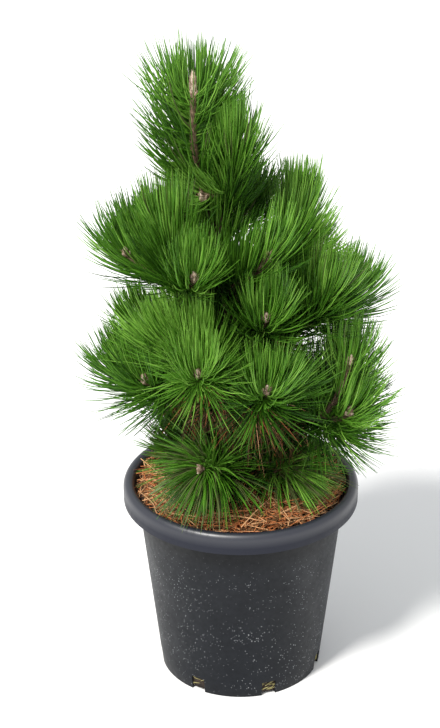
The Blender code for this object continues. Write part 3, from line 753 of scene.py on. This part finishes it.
# %% Say how the needles grow
SEED = 43
NEEDLE_LENGTH = 0.113
NEEDLE_TIP_SHARE = 0.96  # length of the needles by the bud, as a share of the lowest ones'
UPRIGHT_SHARE = 0.70  # and of those that lean out least, as a share of those that lean out most
LENGTH_SPREAD = 0.10
NEEDLE_WIDTH = 0.0019
PAIR_SPACING, LEADER_SPACING = 0.00028, 0.0002  # along the shoot
CROWDING = 0.8  # below 1, so that the pairs stand closer towards the bud
NEEDLE_FROM = 0.06
LEAST_LEAN_AT_FOOT, LEAST_LEAN_AT_BUD = 36.0, 6.0
MOST_LEAN_AT_BUD = 49.0
HIGH_LEAN_AT_FOOT, LOW_LEAN_AT_FOOT = 62.0, 100.0  # the most, on the highest and the lowest boughs
LEADER_LEAN_AT_FOOT, LEADER_LEAN_AT_BUD = 62.0, 88.0  # the leader stands alone, so its tuft is round
OUTWARD_POWER, LEADER_OUTWARD_POWER = 0.7, 0.42  # below 1, so that more needles lean far out
HIGH_LIFT, LOW_LIFT = 0.40, 0.02  # how much of straight up goes into a heading on a level shoot
HIGH_BOUGH, LOW_BOUGH = 0.56, 0.38  # heights on the trunk
OWN_LIFTS = {"front_foot_0": -0.08, "right_foot_0": -0.12, "left_foot_0": 0.05, "left_0": 0.18}
OWN_LIFTS |= {"left_1": 0.34, "right_1": 0.12, "right_2": 0.24, "back_right_low_1": 0.25}
BEND_AT_FOOT, BEND_AT_BUD = 0.2, 0.45  # of a level needle, as a share of its length
BEND_SPREAD = 0.4
TO_AXIS = 0.5  # how much a needle bends towards its shoot's own direction, and not straight up
GOLDEN_ANGLE = 137.508
PAIR_ANGLE = 5.0
BUD_LENGTH, LEADER_BUD_LENGTH = 0.0155, 0.034

dice = np.random.default_rng(SEED)


def bud_length(name):
    return LEADER_BUD_LENGTH if name == "leader" else BUD_LENGTH


def bud_foot(name, curve):
    """The share of a shoot at which its bud begins."""
    return 1 - bud_length(name) / long(curve)


def habit(name, leaves):
    """How much the needles of a bough that leaves the trunk at this height lift, and how far they lean."""
    high = min(max((leaves - LOW_BOUGH) / (HIGH_BOUGH - LOW_BOUGH), 0.0), 1.0)
    lift = LOW_LIFT + (HIGH_LIFT - LOW_LIFT) * high
    wide = LOW_LEAN_AT_FOOT + (HIGH_LEAN_AT_FOOT - LOW_LEAN_AT_FOOT) * high
    if name == "leader":
        return lift, LEADER_LEAN_AT_FOOT, LEADER_LEAN_AT_BUD, LEADER_OUTWARD_POWER
    return OWN_LIFTS.get(name, lift), wide, MOST_LEAN_AT_BUD, OUTWARD_POWER


def spoke_frame(headings, reference):
    """Two directions across each heading, both square to it."""
    across = np.cross(headings, reference)
    across /= np.linalg.norm(across, axis=1, keepdims=True)
    return np.cross(across, headings), across


def needles_of_shoot(curve, first, last, spacing, lift, wide, wide_at_bud, power):
    """Roots, headings, facings, lengths, bends, shares and spokes of one shoot's needles."""
    span = curve[-1] - curve[0]
    pairs = int(long(curve) * (last - first) / spacing)
    share = ((np.arange(pairs) + 0.5) / pairs) ** CROWDING
    points, axis = on_curve(curve, first + (last - first) * share)
    side, across = spoke_frame(axis, np.array(Vector(span).orthogonal()))
    turn = np.radians(dice.uniform(0, 360) + GOLDEN_ANGLE * np.arange(pairs))
    least = LEAST_LEAN_AT_FOOT + (LEAST_LEAN_AT_BUD - LEAST_LEAN_AT_FOOT) * share
    most = wide + (wide_at_bud - wide) * share
    outward = dice.uniform(0, 1, pairs) ** power
    lean = least + (most - least) * outward
    length = NEEDLE_LENGTH * (1 + (NEEDLE_TIP_SHARE - 1) * share)
    length *= (1 - dice.uniform(0, LENGTH_SPREAD, pairs)) * (UPRIGHT_SHARE + (1 - UPRIGHT_SHARE) * outward)
    found = []
    for way in (-1, 1):
        twist = turn + way * np.radians(PAIR_ANGLE) * dice.uniform(0.4, 1.4, pairs)
        tilt = np.radians(lean + dice.uniform(-3, 3, pairs))
        spoke = side * np.cos(twist)[:, None] + across * np.sin(twist)[:, None]
        level = np.hypot(axis[:, :1], axis[:, 1:2])
        heading = axis * np.cos(tilt)[:, None] + spoke * np.sin(tilt)[:, None] + lift * level * np.array(UP)
        heading /= np.linalg.norm(heading, axis=1, keepdims=True)
        facing = math.copysign(1, lift) * np.array(UP) + TO_AXIS * axis
        facing -= heading * (facing * heading).sum(1, keepdims=True)
        pull = np.linalg.norm(facing, axis=1)
        facing /= pull[:, None]
        bend = pull * (BEND_AT_FOOT + (BEND_AT_BUD - BEND_AT_FOOT) * share)
        bend *= 1 + BEND_SPREAD * dice.uniform(-1, 1, pairs)
        reach = length * dice.uniform(0.97, 1, pairs) / np.sqrt(1 + bend**2)
        found.append((points, heading, facing, reach, reach * bend, share, spoke))
    return [np.concatenate(part) for part in zip(*found)]


print("pairs on a shoot 0.1 m long:", int(0.1 / PAIR_SPACING))

# %% [markdown]
# A needle that has no room is cut back, step by step. The test looks at four places along the bent
# needle and not just at its tip, because a needle may cross a bough halfway and come out beyond it.

# %% Fit the needles to their room
CUT_BACK = (1.0, 0.9, 0.8, 0.7)
TEST_STEPS = (0.35, 0.6, 0.8, 1.0)


def fit_to_room(owner, name, roots, headings, facings, lengths, bends):
    """Each needle's share of its length after it is cut back, or 0 where it isn't grown."""
    fitted = np.zeros(len(roots))
    waiting = np.arange(len(roots))
    for cut in CUT_BACK:
        free = np.ones(len(waiting), bool)
        for step in TEST_STEPS:
            ahead = headings[waiting] * (lengths[waiting] * cut * step)[:, None]
            aside = facings[waiting] * (bends[waiting] * cut * step**2)[:, None]
            free &= has_room(roots[waiting] + ahead + aside, owner, SHY.get(name, REACH_OVER))
        fitted[waiting[free]] = cut
        waiting = waiting[~free]
    return fitted


print("cuts:", CUT_BACK)

# %% [markdown]
# Seen from the front, the buds show, and so do three stems: the leader's, the longest one on the
# right, and one in the upper front. The needles in front of them have dropped. So a narrow slot is
# kept open there. It runs from the stem towards the front, and few needles are let through it.

# %% Keep slots open in front of buds and bare stems
TO_FRONT = np.array((0.0, -0.9, 0.43)) / np.linalg.norm((0.0, -0.9, 0.43))
SLOT_LENGTH = 0.16
SLOT_HALF_WIDTH = 0.0062
SLOT_SHARE = 0.06  # of the needles there that are grown all the same
SLOT_TOP = 1.02  # a slot runs a little past the bud's tip
BUD_SEEN = 0.75  # of its length
BARE_STEMS = {"leader": 0.30, "right_0": 0.20, "front_upper_0": 0.62}  # from this share of the shoot up
OPEN_BUDS = ("left_upper_0", "left_upper_1", "second_leader_1", "front_upper_0", "front_middle_0")
OPEN_BUDS += ("front_left_0", "left_0", "front_right_0", "right_1", "front_foot_0")

slots = []
for owner, name, curve in shoots:
    if name in BARE_STEMS:
        slots.append(on_curve(curve, np.linspace(BARE_STEMS[name], SLOT_TOP, 14))[0])
    if name in OPEN_BUDS:
        seen_from = 1 - BUD_SEEN * (1 - bud_foot(name, curve))
        slots.append(on_curve(curve, np.linspace(seen_from, SLOT_TOP, 4))[0])
slots = np.concatenate(slots)


def in_slot(roots, headings, facings, lengths, bends):
    """True for each needle that would hide a bud or a bare stem from the front."""
    hides = np.zeros(len(roots), bool)
    for step in np.linspace(0.06, 1, 12):
        point = roots + headings * (lengths * step)[:, None] + facings * (bends * step**2)[:, None]
        away = point[:, None] - slots
        ahead = np.clip(away @ TO_FRONT, 0, SLOT_LENGTH)
        beside = np.linalg.norm(away - ahead[..., None] * TO_FRONT, axis=2)
        hides |= ((beside < SLOT_HALF_WIDTH) & (ahead > 0.001)).any(1)
    return hides


print("slot points:", len(slots))

# %% [markdown]
# Neighbouring pairs make a spray, and each spray gets one tint. The lightest ones point up near the
# bud, and the darkest hang at the foot of the shoot: pointing up gives a needle painted light, as if
# the sky lit it, and hanging gives it painted shade. A whole tuft may be made lighter or darker than
# the rest, which is painted light and painted shade. A few sprays are olive, and on three tufts over
# the pot a third to a half are. The needles that grow straight from a bough are older and darker.

# %% Deal out the tints
SPRAY_PAIRS = 7
SPRAY_LUCK, NEEDLE_LUCK = 0.42, 0.08
# painted light: a needle's tint is lighter the more it points up, and darker the more it hangs
TINT_FROM, TINT_BY_SHARE, PAINTED_LIGHT_BY_RISE = 0.26, 0.36, 0.24
TINT_STEPS = (0.14, 0.38, 0.66, 0.92)
GREENS = np.array(["needles_shaded", "needles_deep", "needles_green", "needles_bright", "needles_fresh"])
SELDOM_FADED = 0.012
FADING = {"right_foot_0": 0.5, "left_foot_0": 0.4, "front_foot_0": 0.30}
# painted light and shade: whole tufts made lighter, and a few darker, for how much light falls on them
TUFT_PAINTED_LIGHT = {"leader": -0.06, "second_leader_0": 0.10, "second_leader_1": 0.42, "front_upper_0": -0.05}
TUFT_PAINTED_LIGHT |= {"right_upper_0": 0.22, "right_upper_1": 0.22, "left_0": -0.08, "left_1": -0.08}
TUFT_PAINTED_LIGHT |= {"front_left_0": 0.44, "front_left_1": 0.44, "front_left_2": 0.30, "right_0": -0.02}
TUFT_PAINTED_LIGHT |= {"right_1": 0.16, "right_2": 0.22, "front_foot_0": 0.02, "right_foot_0": 0.42}
OWN_LENGTHS = {"left_middle_0": 0.76, "left_foot_0": 0.72, "back_left_foot_0": 0.80, "right_2": 0.88}
OWN_LENGTHS |= {"back_right_low_1": 0.88, "leader": 1.06}


def tints_of(name, shares, rises, groups, darker):
    """Tints by spray and by place on the shoot, with painted shade on the needles that hang and painted
    light on those that stand.
    """
    sprays = groups.max() + 1
    luck = dice.uniform(-SPRAY_LUCK, SPRAY_LUCK, sprays)[groups]
    luck += dice.uniform(-NEEDLE_LUCK, NEEDLE_LUCK, len(groups))
    light = TINT_FROM + TINT_BY_SHARE * shares + PAINTED_LIGHT_BY_RISE * rises + luck - darker
    names = GREENS[np.digitize(light, TINT_STEPS)]
    faded = dice.uniform(0, 1, sprays)[groups] < FADING.get(name, SELDOM_FADED)
    names[faded] = "needles_olive"
    return names


print("tints:", len(TINTS), "steps:", TINT_STEPS)

# %% [markdown]
# Three kinds of stem carry needles: the shoots, most of each bough, and the top of the
# trunk. A row for each says where its needles start and end and how close they stand. On the
# underside of a shoot some needles are shed, because little light gets there.

# %% List the stems that carry needles
INNER_FROM, INNER_TO = 0.30, 0.98  # shares of a bough
INNER_SPACING = 0.0005
INNER_DARKER = 0.35
TRUNK_NEEDLES_FROM = 0.640  # height from which the trunk itself carries needles
# painted light: below zero, so the needles on the top of the trunk are made lighter where the leader shades
# them
TRUNK_PAINTED_DARKER = -0.2

rows = []
for owner, name, curve in shoots:
    spacing = LEADER_SPACING if name == "leader" else PAIR_SPACING
    rows.append((owner, name, curve, NEEDLE_FROM, bud_foot(name, curve), spacing, -TUFT_PAINTED_LIGHT.get(name, 0.0)))
for owner, (name, curve) in enumerate(boughs.items()):
    rows.append((owner, name, curve, INNER_FROM, INNER_TO, INNER_SPACING, INNER_DARKER))
top = [np.array(trunk_point(height)) for height in np.linspace(TRUNK_NEEDLES_FROM, TRUNK_FORK.z, 3)]
rows.append((len(BOUGHS), "top_of_trunk", top, 0, 1, INNER_SPACING, TRUNK_PAINTED_DARKER))
print("stems with needles:", len(rows))

# %% Grow them all
UNDERSIDE = -0.45  # spokes that point down more than this
UNDERSIDE_SHARE = 0.7  # of the needles there that are grown
LEAVE_HEIGHTS = [row[1] for row in BOUGHS] + [TRUNK_FORK.z]

batches = []
for owner, name, curve, first, last, spacing, darker in rows:
    ways = habit(name, LEAVE_HEIGHTS[owner])
    needles = needles_of_shoot(curve, first, last, spacing, *ways)
    roots, headings, facings, lengths, bends, shares, spokes = needles
    lengths, bends = lengths * OWN_LENGTHS.get(name, 1.0), bends * OWN_LENGTHS.get(name, 1.0)
    fitted = fit_to_room(owner, name, roots, headings, facings, lengths, bends)
    groups = np.tile(np.arange(len(roots) // 2) // SPRAY_PAIRS, 2)
    rises = (headings * lengths[:, None] + facings * bends[:, None])[:, 2] / NEEDLE_LENGTH
    tint = tints_of(name, shares, rises, groups, darker)
    luck = dice.uniform(0, 1, len(roots))
    shed = (spokes[:, 2] < UNDERSIDE) & (luck > UNDERSIDE_SHARE) & ("foot" not in name)
    shed |= in_slot(roots, headings, facings, lengths, bends) & (luck > SLOT_SHARE)
    grown = (fitted > 0) & ~shed
    width = NEEDLE_WIDTH * dice.uniform(0.8, 1.15, len(roots))
    parts = (roots, headings, facings, fitted * lengths, fitted * bends, width, tint)
    batches.append([part[grown] for part in parts])
roots, headings, facings, lengths, bends, widths, tint = [np.concatenate(part) for part in zip(*batches)]
for name in (*GREENS, "needles_olive"):
    mine = tint == name
    values = {"heading": headings, "facing": facings, "length": lengths, "bend": bends, "width": widths}
    values = {label: data[mine] for label, data in values.items()}
    settings = {"Joints": 5, "Sides": 3}
    piece = grow(str(name), needle_tree, roots[mine], values, settings, tints[name])
    if name == "needles_green":
        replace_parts(piece, *["needles_" + mass for mass in [*boughs, "leader"]])
print("needles:", len(roots))


# %% [markdown]
# ## Bark
# A limb is a tube whose skin is pushed in and out by noise. On the trunk the plates are coarse and
# long, and on a thin shoot only the cut-off feet of old scales show. The trunk and all the boughs
# are one mesh, because they have one skin.

# %% Wrap the limbs in bark
BARK_PLATE = 0.011  # size of a plate on the trunk
PLATE_STRETCH = 0.45  # a plate is longer than wide
FINE_CRACKS = 2.7  # how much finer the second noise is
BARK_DEPTH, STEM_DEPTH = 0.10, 0.12  # shares of the limb's radius


def limb_tube(shape, points, radii, sides, depth):
    """Add a closed tube with a rough skin to the mesh."""
    points = [Vector(point) for point in points]
    rings = []
    reference = (points[-1] - points[0]).orthogonal()
    for index, (point, radius) in enumerate(zip(points, radii)):
        before, after = points[max(index - 1, 0)], points[min(index + 1, len(points) - 1)]
        heading = (after - before).normalized()
        across = heading.cross(reference).normalized()
        side = across.cross(heading)
        ring = []
        for step in range(sides):
            turn = 2 * math.pi * step / sides
            spoke = side * math.cos(turn) + across * math.sin(turn)
            spot = point + spoke * radius
            grain = Vector((spot.x, spot.y, spot.z * PLATE_STRETCH)) / BARK_PLATE
            push = noise.noise(grain) + 0.5 * noise.noise(grain * FINE_CRACKS)
            ring.append(shape.verts.new(point + spoke * radius * (1 + depth * push)))
        rings.append(ring)
    join_rings(shape, rings)


def join_rings(shape, rings):
    """Faces between each ring of points and the next, and over both ends."""
    for near, far in zip(rings, rings[1:]):
        for step in range(len(near)):
            after = (step + 1) % len(near)
            shape.faces.new((near[step], near[after], far[after], far[step]))
    shape.faces.new(rings[0][::-1])
    shape.faces.new(rings[-1])


shape = bmesh.new()
heights = [TRUNK_FOOT.z + (TRUNK_FORK.z - TRUNK_FOOT.z) * (i / 90) ** 1.15 for i in range(91)]
limb_tube(shape, [trunk_point(h) for h in heights], [trunk_radius(h) for h in heights], 32, BARK_DEPTH)
share = np.linspace(0, 1, 26)
bough_radii = BOUGH_RADIUS + (BOUGH_TIP_RADIUS - BOUGH_RADIUS) * share
for curve in boughs.values():
    limb_tube(shape, on_curve(curve, share)[0], bough_radii, 14, BARK_DEPTH)
limbs = paint(shown_shape("bark_of_limbs", shape), bark)
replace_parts(limbs, "trunk", *["bough_" + name for name in boughs])

# %% [markdown]
# The shoots are thinner tubes that run on from the boughs. Old needle feet cover them like shingles,
# so a second small tree of nodes lays a flat, pointed scale at each place of the spiral.

# %% Grow the shoots' stems
SHOOT_RADIUS, SHOOT_NECK = 0.0036, 0.0029


def shoot_radius(share):
    return SHOOT_RADIUS + (SHOOT_NECK - SHOOT_RADIUS) * share


shape = bmesh.new()
for owner, name, curve in shoots:
    share = np.linspace(0, bud_foot(name, curve) + 0.02, 20)
    limb_tube(shape, on_curve(curve, share)[0], shoot_radius(share), 10, STEM_DEPTH)
paint(shown_shape("shoot_stems", shape), bark)

# %% Build the scale tree
tree, given, filled = new_group(
    "lay_scales",
    "GeometryNodeTree",
    [POINTS, ("Sides", INTEGER, 4), ("Thickness", FLOAT, 0.35), FINISH],
    [("Geometry", GEOMETRY)],
)
links = {"Vertices": given["Sides"], "Radius Top": 0.12, "Radius Bottom": 0.5, "Depth": 1.0}
cone = add(tree, "GeometryNodeMeshCone", links).outputs[0]
width = stored(tree, "width")
size = {"X": maths(tree, "MULTIPLY", width, given["Thickness"]), "Y": width, "Z": stored(tree, "length")}
end_tree(tree, given, filled, set_on_points(tree, given["Points"], cone, size))
scale_tree = tree

# %% Lay the scales on the stems
SCALES_PER_METRE = 2400
SCALES_TO = 0.93  # share of the shoot
SCALE_LENGTH, SCALE_WIDTH = 0.0095, 0.0030
SCALE_LIFT = 17.0  # degrees by which a scale stands off the stem


def spiral(curve, share, radius, lift, turn):
    """Places on a stem's skin, with the way up the stem and the way out from it."""
    points, axis = on_curve(curve, share)
    side, across = spoke_frame(axis, np.array(Vector(curve[-1] - curve[0]).orthogonal()))
    spoke = side * np.cos(turn)[:, None] + across * np.sin(turn)[:, None]
    lift = np.radians(lift)
    up_the_stem = axis * math.cos(lift) + spoke * math.sin(lift)
    return points + spoke * np.asarray(radius).reshape(-1, 1), up_the_stem, spoke


batches = []
for owner, name, curve in shoots:
    count = int(long(curve) * SCALES_PER_METRE)
    share = (np.arange(count) + 0.5) / count
    turn = np.radians(GOLDEN_ANGLE * np.arange(count) + dice.uniform(-9, 9, count))
    places, way, out = spiral(curve, share * SCALES_TO, shoot_radius(share), SCALE_LIFT, turn)
    length = SCALE_LENGTH * dice.uniform(0.6, 1.2, count)
    batches.append((places, way, out, length, SCALE_WIDTH * dice.uniform(0.8, 1.2, count)))
places, way, out, length, width = [np.concatenate(part) for part in zip(*batches)]
values = {"heading": way, "facing": out, "length": length, "width": width}
grow("stem_scales", scale_tree, places, values, {"Sides": 4, "Thickness": 0.35}, stem_scale)

# %% [markdown]
# ## Buds
# A bud is a small spindle wrapped in scales that point to its tip. The spindle is turned round each
# shoot's end, and the same scale tree covers it, with wider scales that lie closer. Three smaller
# side buds stand round its foot. The leader's bud is the longest.

# %% Place the buds
BUD_RADIUS, LEADER_BUD_RADIUS = 0.0038, 0.0042
SIDE_BUDS = 3
SIDE_BUD_SIZE = 0.62
SIDE_BUD_LEAN = math.radians(32.0)

rows = []
for owner, name, curve in shoots:
    tip, way = on_curve(curve, [1.0])
    start = tip[0] - way[0] * bud_length(name)
    rows.append((start, way[0], bud_length(name), LEADER_BUD_RADIUS if name == "leader" else BUD_RADIUS))
    side, across = spoke_frame(way, np.array(UP.cross(Vector((1, 0.3, 0)))))
    first = dice.uniform(0, 2 * math.pi)
    for index in range(SIDE_BUDS):
        turn = first + 2 * math.pi * index / SIDE_BUDS
        out = side[0] * math.cos(turn) + across[0] * math.sin(turn)
        aside = way[0] * math.cos(SIDE_BUD_LEAN) + out * math.sin(SIDE_BUD_LEAN)
        size = SIDE_BUD_SIZE * dice.uniform(0.8, 1.15)
        rows.append((start + out * SHOOT_NECK * 0.5, aside, BUD_LENGTH * size, BUD_RADIUS * size))
print("buds:", len(rows))

# %% Make them
BUD_SHAPE = ((0.0, 0.70), (0.18, 0.92), (0.42, 1.0), (0.66, 0.84), (0.86, 0.48), (1.0, 0.10))
BUD_SIDES = 12
BUD_SCALES = 44
BUD_SCALES_TO = 0.92  # share of the bud
BUD_SCALE_LENGTH, BUD_SCALE_WIDTH = 0.25, 0.70  # shares of the bud's length and radius
BUD_SCALE_LIFT = 0.24

shape = bmesh.new()
batches = []
table = np.array(BUD_SHAPE)
turn = np.radians(GOLDEN_ANGLE * np.arange(BUD_SCALES))
for start, way, length, radius in rows:
    line = (start, start + way * length / 2, start + way * length)
    limb_tube(shape, on_curve(line, table[:, 0])[0], table[:, 1] * radius, BUD_SIDES, 0.0)
    share = (np.arange(BUD_SCALES) + 0.5) / BUD_SCALES * BUD_SCALES_TO
    width = np.interp(share, table[:, 0], table[:, 1]) * radius
    slope = np.gradient(width, share * length)
    places, _, out = spiral(line, share, width, 0.0, turn)
    lean = way + out * (slope[:, None] + BUD_SCALE_LIFT)
    lean /= np.linalg.norm(lean, axis=1, keepdims=True)
    scale_length = BUD_SCALE_LENGTH * length * (1 - 0.3 * share)
    batches.append((places, lean, out, scale_length, width * BUD_SCALE_WIDTH + 0.0004))
paint(shown_shape("bud_cores", shape), bud_scale)
places, lean, out, length, width = [np.concatenate(part) for part in zip(*batches)]
values = {"heading": lean, "facing": out, "length": length, "width": width}
grow("bud_scales", scale_tree, places, values, {"Sides": 5, "Thickness": 0.30}, bud_scale)


# %% [markdown]
# ## Soil and fallen needles
# The root ball fills the pot. Its top is a low mound of dark crumbs, but little of it shows, because
# a thick mat of dropped needles lies on it. They lie nearly flat and at all angles, and the same
# tree that grew the green ones makes them, with other points.

# %% Model the root ball
SOIL_RINGS, SOIL_WALL_RINGS, SOIL_SPOKES = 46, 20, 96
SOIL_ROUGH, SOIL_WALL_ROUGH = 0.0022, 0.004  # metres on the mound, and a share of the radius at the wall
CRUMBS, FINE_CRUMBS = 120, 300  # scales of the two noises


def soil_height(reach):
    """The level of the soil at this distance from the middle, before it is roughened."""
    edge = body_radius(SOIL_EDGE)
    share = np.clip((reach - SOIL_FLAT) / (edge - SOIL_FLAT), 0, 1)
    return SOIL_TOP - share**2 * (SOIL_TOP - SOIL_EDGE)


edge, floor_radius = [body_radius(height) - WALL - 2 * CLEAR for height in (SOIL_EDGE, FLOOR)]
rows = [(edge * (ring + 1) / SOIL_RINGS, None) for ring in range(SOIL_RINGS)]
for ring in range(1, SOIL_WALL_RINGS + 1):
    share = ring / SOIL_WALL_RINGS
    rows.append((edge + (floor_radius - edge) * share, SOIL_EDGE + (FLOOR + CLEAR - SOIL_EDGE) * share))
shape = bmesh.new()
rings = []
for reach, height in rows:
    ring = []
    for spoke in range(SOIL_SPOKES):
        turn = 2 * math.pi * spoke / SOIL_SPOKES
        x, y = reach * math.cos(turn), reach * math.sin(turn)
        level = soil_height(reach) if height is None else height
        spot = Vector((x, y, level))
        rough = noise.noise(spot * CRUMBS) + 0.6 * noise.noise(spot * FINE_CRUMBS)
        if height is None:
            level -= SOIL_ROUGH * (0.5 + 0.5 * rough)
        elif height > FLOOR + 0.01:
            x, y = x * (1 - SOIL_WALL_ROUGH * (1 + rough)), y * (1 - SOIL_WALL_ROUGH * (1 + rough))
        ring.append(shape.verts.new((x, y, level)))
    rings.append(ring)
join_rings(shape, rings)
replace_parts(paint(shown_shape("root_ball", shape), soil_crumb), "soil")

# %% Drop the needles on it
LITTER = {"litter_orange": 2100, "litter_tan": 1500, "litter_brown": 1500}
LITTER_DEPTH = 0.017
LITTER_LENGTH = 0.078
LITTER_WALL = 0.0014  # kept clear of the pot's wall
LITTER_PITCH = 10.0  # degrees
LITTER_THIN, LITTER_THICK = 0.0011, 0.0021
LITTER_TOP = POT_HEIGHT + 0.012
LITTER_JOINTS = {"Joints": 4, "Sides": 3}
WALL_INSIDE = body_radius(SOIL_EDGE) - WALL


def inside_wall(points):
    """True for each point that the pot's wall and rim leave room for."""
    heights, radii = (SOIL_EDGE, POT_HEIGHT - RIM_ROUND), (WALL_INSIDE, RIM_RADIUS - RIM_THICK)
    inner = np.interp(points[:, 2], heights, radii)
    return np.hypot(points[:, 0], points[:, 1]) < inner - LITTER_WALL


def fallen(count):
    """Needles that lie on the mound, each with both ends inside the wall."""
    found = []
    while sum(len(part[0]) for part in found) < count:
        tries = count * 2
        turn, yaw = dice.uniform(0, 2 * math.pi, (2, tries))
        reach = np.sqrt(dice.uniform(0, 1, tries)) * (RIM_RADIUS - RIM_THICK)
        pitch = np.radians(dice.normal(0, LITTER_PITCH, tries))
        way = np.stack([np.cos(yaw) * np.cos(pitch), np.sin(yaw) * np.cos(pitch), np.sin(pitch)], 1)
        length = LITTER_LENGTH * dice.uniform(0.45, 1.12, tries)
        start = np.stack([reach * np.cos(turn), reach * np.sin(turn), np.zeros(tries)], 1)
        end = start + way * length[:, None]
        level = np.maximum(soil_height(reach), soil_height(np.hypot(end[:, 0], end[:, 1])))
        layer = dice.uniform(0, 1, tries) ** 1.2 * LITTER_DEPTH
        start[:, 2] = level + layer - np.minimum(way[:, 2], 0) * length * 0.6
        end = start + way * length[:, None]
        fits = inside_wall(start) & inside_wall(end) & (end[:, 2] < LITTER_TOP)
        lowest = np.minimum(start[:, 2], end[:, 2])
        fits &= lowest > np.minimum(soil_height(reach), level) - 0.002
        found.append((start[fits], way[fits], length[fits]))
    return [np.concatenate(part)[:count] for part in zip(*found)]


for name, count in LITTER.items():
    start, way, length = fallen(count)
    facing = np.cross(way, np.array(UP)) + dice.normal(0, 0.5, (count, 3)) * np.array((1, 1, 0.2))
    bend = length * dice.uniform(0.0, 0.16, count)
    values = {"heading": way, "facing": facing, "length": length, "bend": bend}
    values["width"] = dice.uniform(LITTER_THIN, LITTER_THICK, count)
    grow(name, needle_tree, start, values, LITTER_JOINTS, tints[name])

# %% [markdown]
# A plant that has stood in its pot for years sends roots round the foot of the ball. They show in
# the drain notches as a tangle of pale threads.

# %% Wind the roots round the foot of the ball
ROOTS = 420
ROOT_ZONE = 0.026  # height up to which they lie
ROOT_SHORT, ROOT_LONG = 0.006, 0.016
ROOT_THIN, ROOT_THICK = 0.0008, 0.0017

turn, level = dice.uniform(0, 2 * math.pi, ROOTS), dice.uniform(FLOOR + 0.001, ROOT_ZONE, ROOTS)
ball = np.interp(level, (FLOOR, SOIL_EDGE), (floor_radius, edge))[:, None] + 2 * CLEAR
out = np.stack([np.cos(turn), np.sin(turn), np.zeros(ROOTS)], 1)
round_it = np.stack([-np.sin(turn), np.cos(turn), dice.uniform(0, 0.9, ROOTS)], 1)
round_it /= np.linalg.norm(round_it, axis=1, keepdims=True)
length = dice.uniform(ROOT_SHORT, ROOT_LONG, ROOTS)
values = {"heading": round_it, "facing": -out, "length": length, "bend": length**2 / (2 * ball[:, 0])}
values["width"] = dice.uniform(ROOT_THIN, ROOT_THICK, ROOTS)
start = out * ball + np.array(UP) * level[:, None]
grow("root_threads", needle_tree, start, values, LITTER_JOINTS, tints["root_thread"])

# %% [markdown]
# Not every dead needle reaches the soil. Under the lowest tufts they hang in the forks in thick
# brown tassels, and they hide the trunk there.

# %% Hang the caught needles
CAUGHT_BELOW = 0.50  # height up to which dead needles hang in the boughs
CAUGHT_SPACING = 0.00055
CAUGHT_FROM, CAUGHT_TO = 0.05, 0.90  # shares of a bough
CAUGHT_FALL = 0.75  # how much of straight down goes into each heading
CAUGHT_SPRAY = 5
CAUGHT_TINTS = np.array(["litter_brown", "litter_orange", "litter_tan"])
CAUGHT_ODDS = (0.74, 0.18, 0.08)

batches = []
for owner, (name, curve) in enumerate(boughs.items()):
    if curve[0][2] > CAUGHT_BELOW:
        continue
    count = int(long(curve) * (CAUGHT_TO - CAUGHT_FROM) / CAUGHT_SPACING)
    share = dice.uniform(CAUGHT_FROM, CAUGHT_TO, count)
    turn = dice.uniform(0, 2 * math.pi, count)
    start, _, out = spiral(curve, share, BOUGH_RADIUS + 0.001, 0.0, turn)
    way = out - CAUGHT_FALL * np.array(UP) + dice.normal(0, 0.45, (count, 3))
    way /= np.linalg.norm(way, axis=1, keepdims=True)
    facing = dice.normal(0, 0.2, (count, 3)) - np.array(UP)
    facing -= way * (facing * way).sum(1, keepdims=True)
    facing /= np.linalg.norm(facing, axis=1, keepdims=True)
    length = LITTER_LENGTH * dice.uniform(0.6, 1.15, count)
    bend = length * dice.uniform(0.02, 0.25, count)
    fitted = fit_to_room(owner, name, start, way, facing, length, bend)
    sprays = np.arange(count) // CAUGHT_SPRAY
    spray = dice.choice(CAUGHT_TINTS, count // CAUGHT_SPRAY + 1, p=CAUGHT_ODDS)[sprays]
    kept = fitted > 0
    batches.append([part[kept] for part in (start, way, facing, fitted * length, fitted * bend, spray)])
start, way, facing, length, bend, spray = [np.concatenate(part) for part in zip(*batches)]
for name in CAUGHT_TINTS:
    mine = spray == name
    values = {"heading": way[mine], "facing": facing[mine], "length": length[mine], "bend": bend[mine]}
    values["width"] = dice.uniform(LITTER_THIN, LITTER_THICK, mine.sum())
    caught = name.replace("litter", "caught")
    grow(caught, needle_tree, start[mine], values, LITTER_JOINTS, tints[name])

# %% [markdown]
# ## Finish
# The floor is not part of the plant.

# %% Lay the floor and finish
half = FLOOR_SIZE / 2
floor_mesh = bpy.data.meshes.new("floor")
corners = [(-half, -half, 0), (half, -half, 0), (half, half, 0), (-half, half, 0)]
floor_mesh.from_pydata(corners, [], [(0, 1, 2, 3)])
floor = show("floor", floor_mesh)
floor_mesh.materials.append(new_material("studio_floor", (0.86, 0.865, 0.87), 0.9, 0.1)[0])
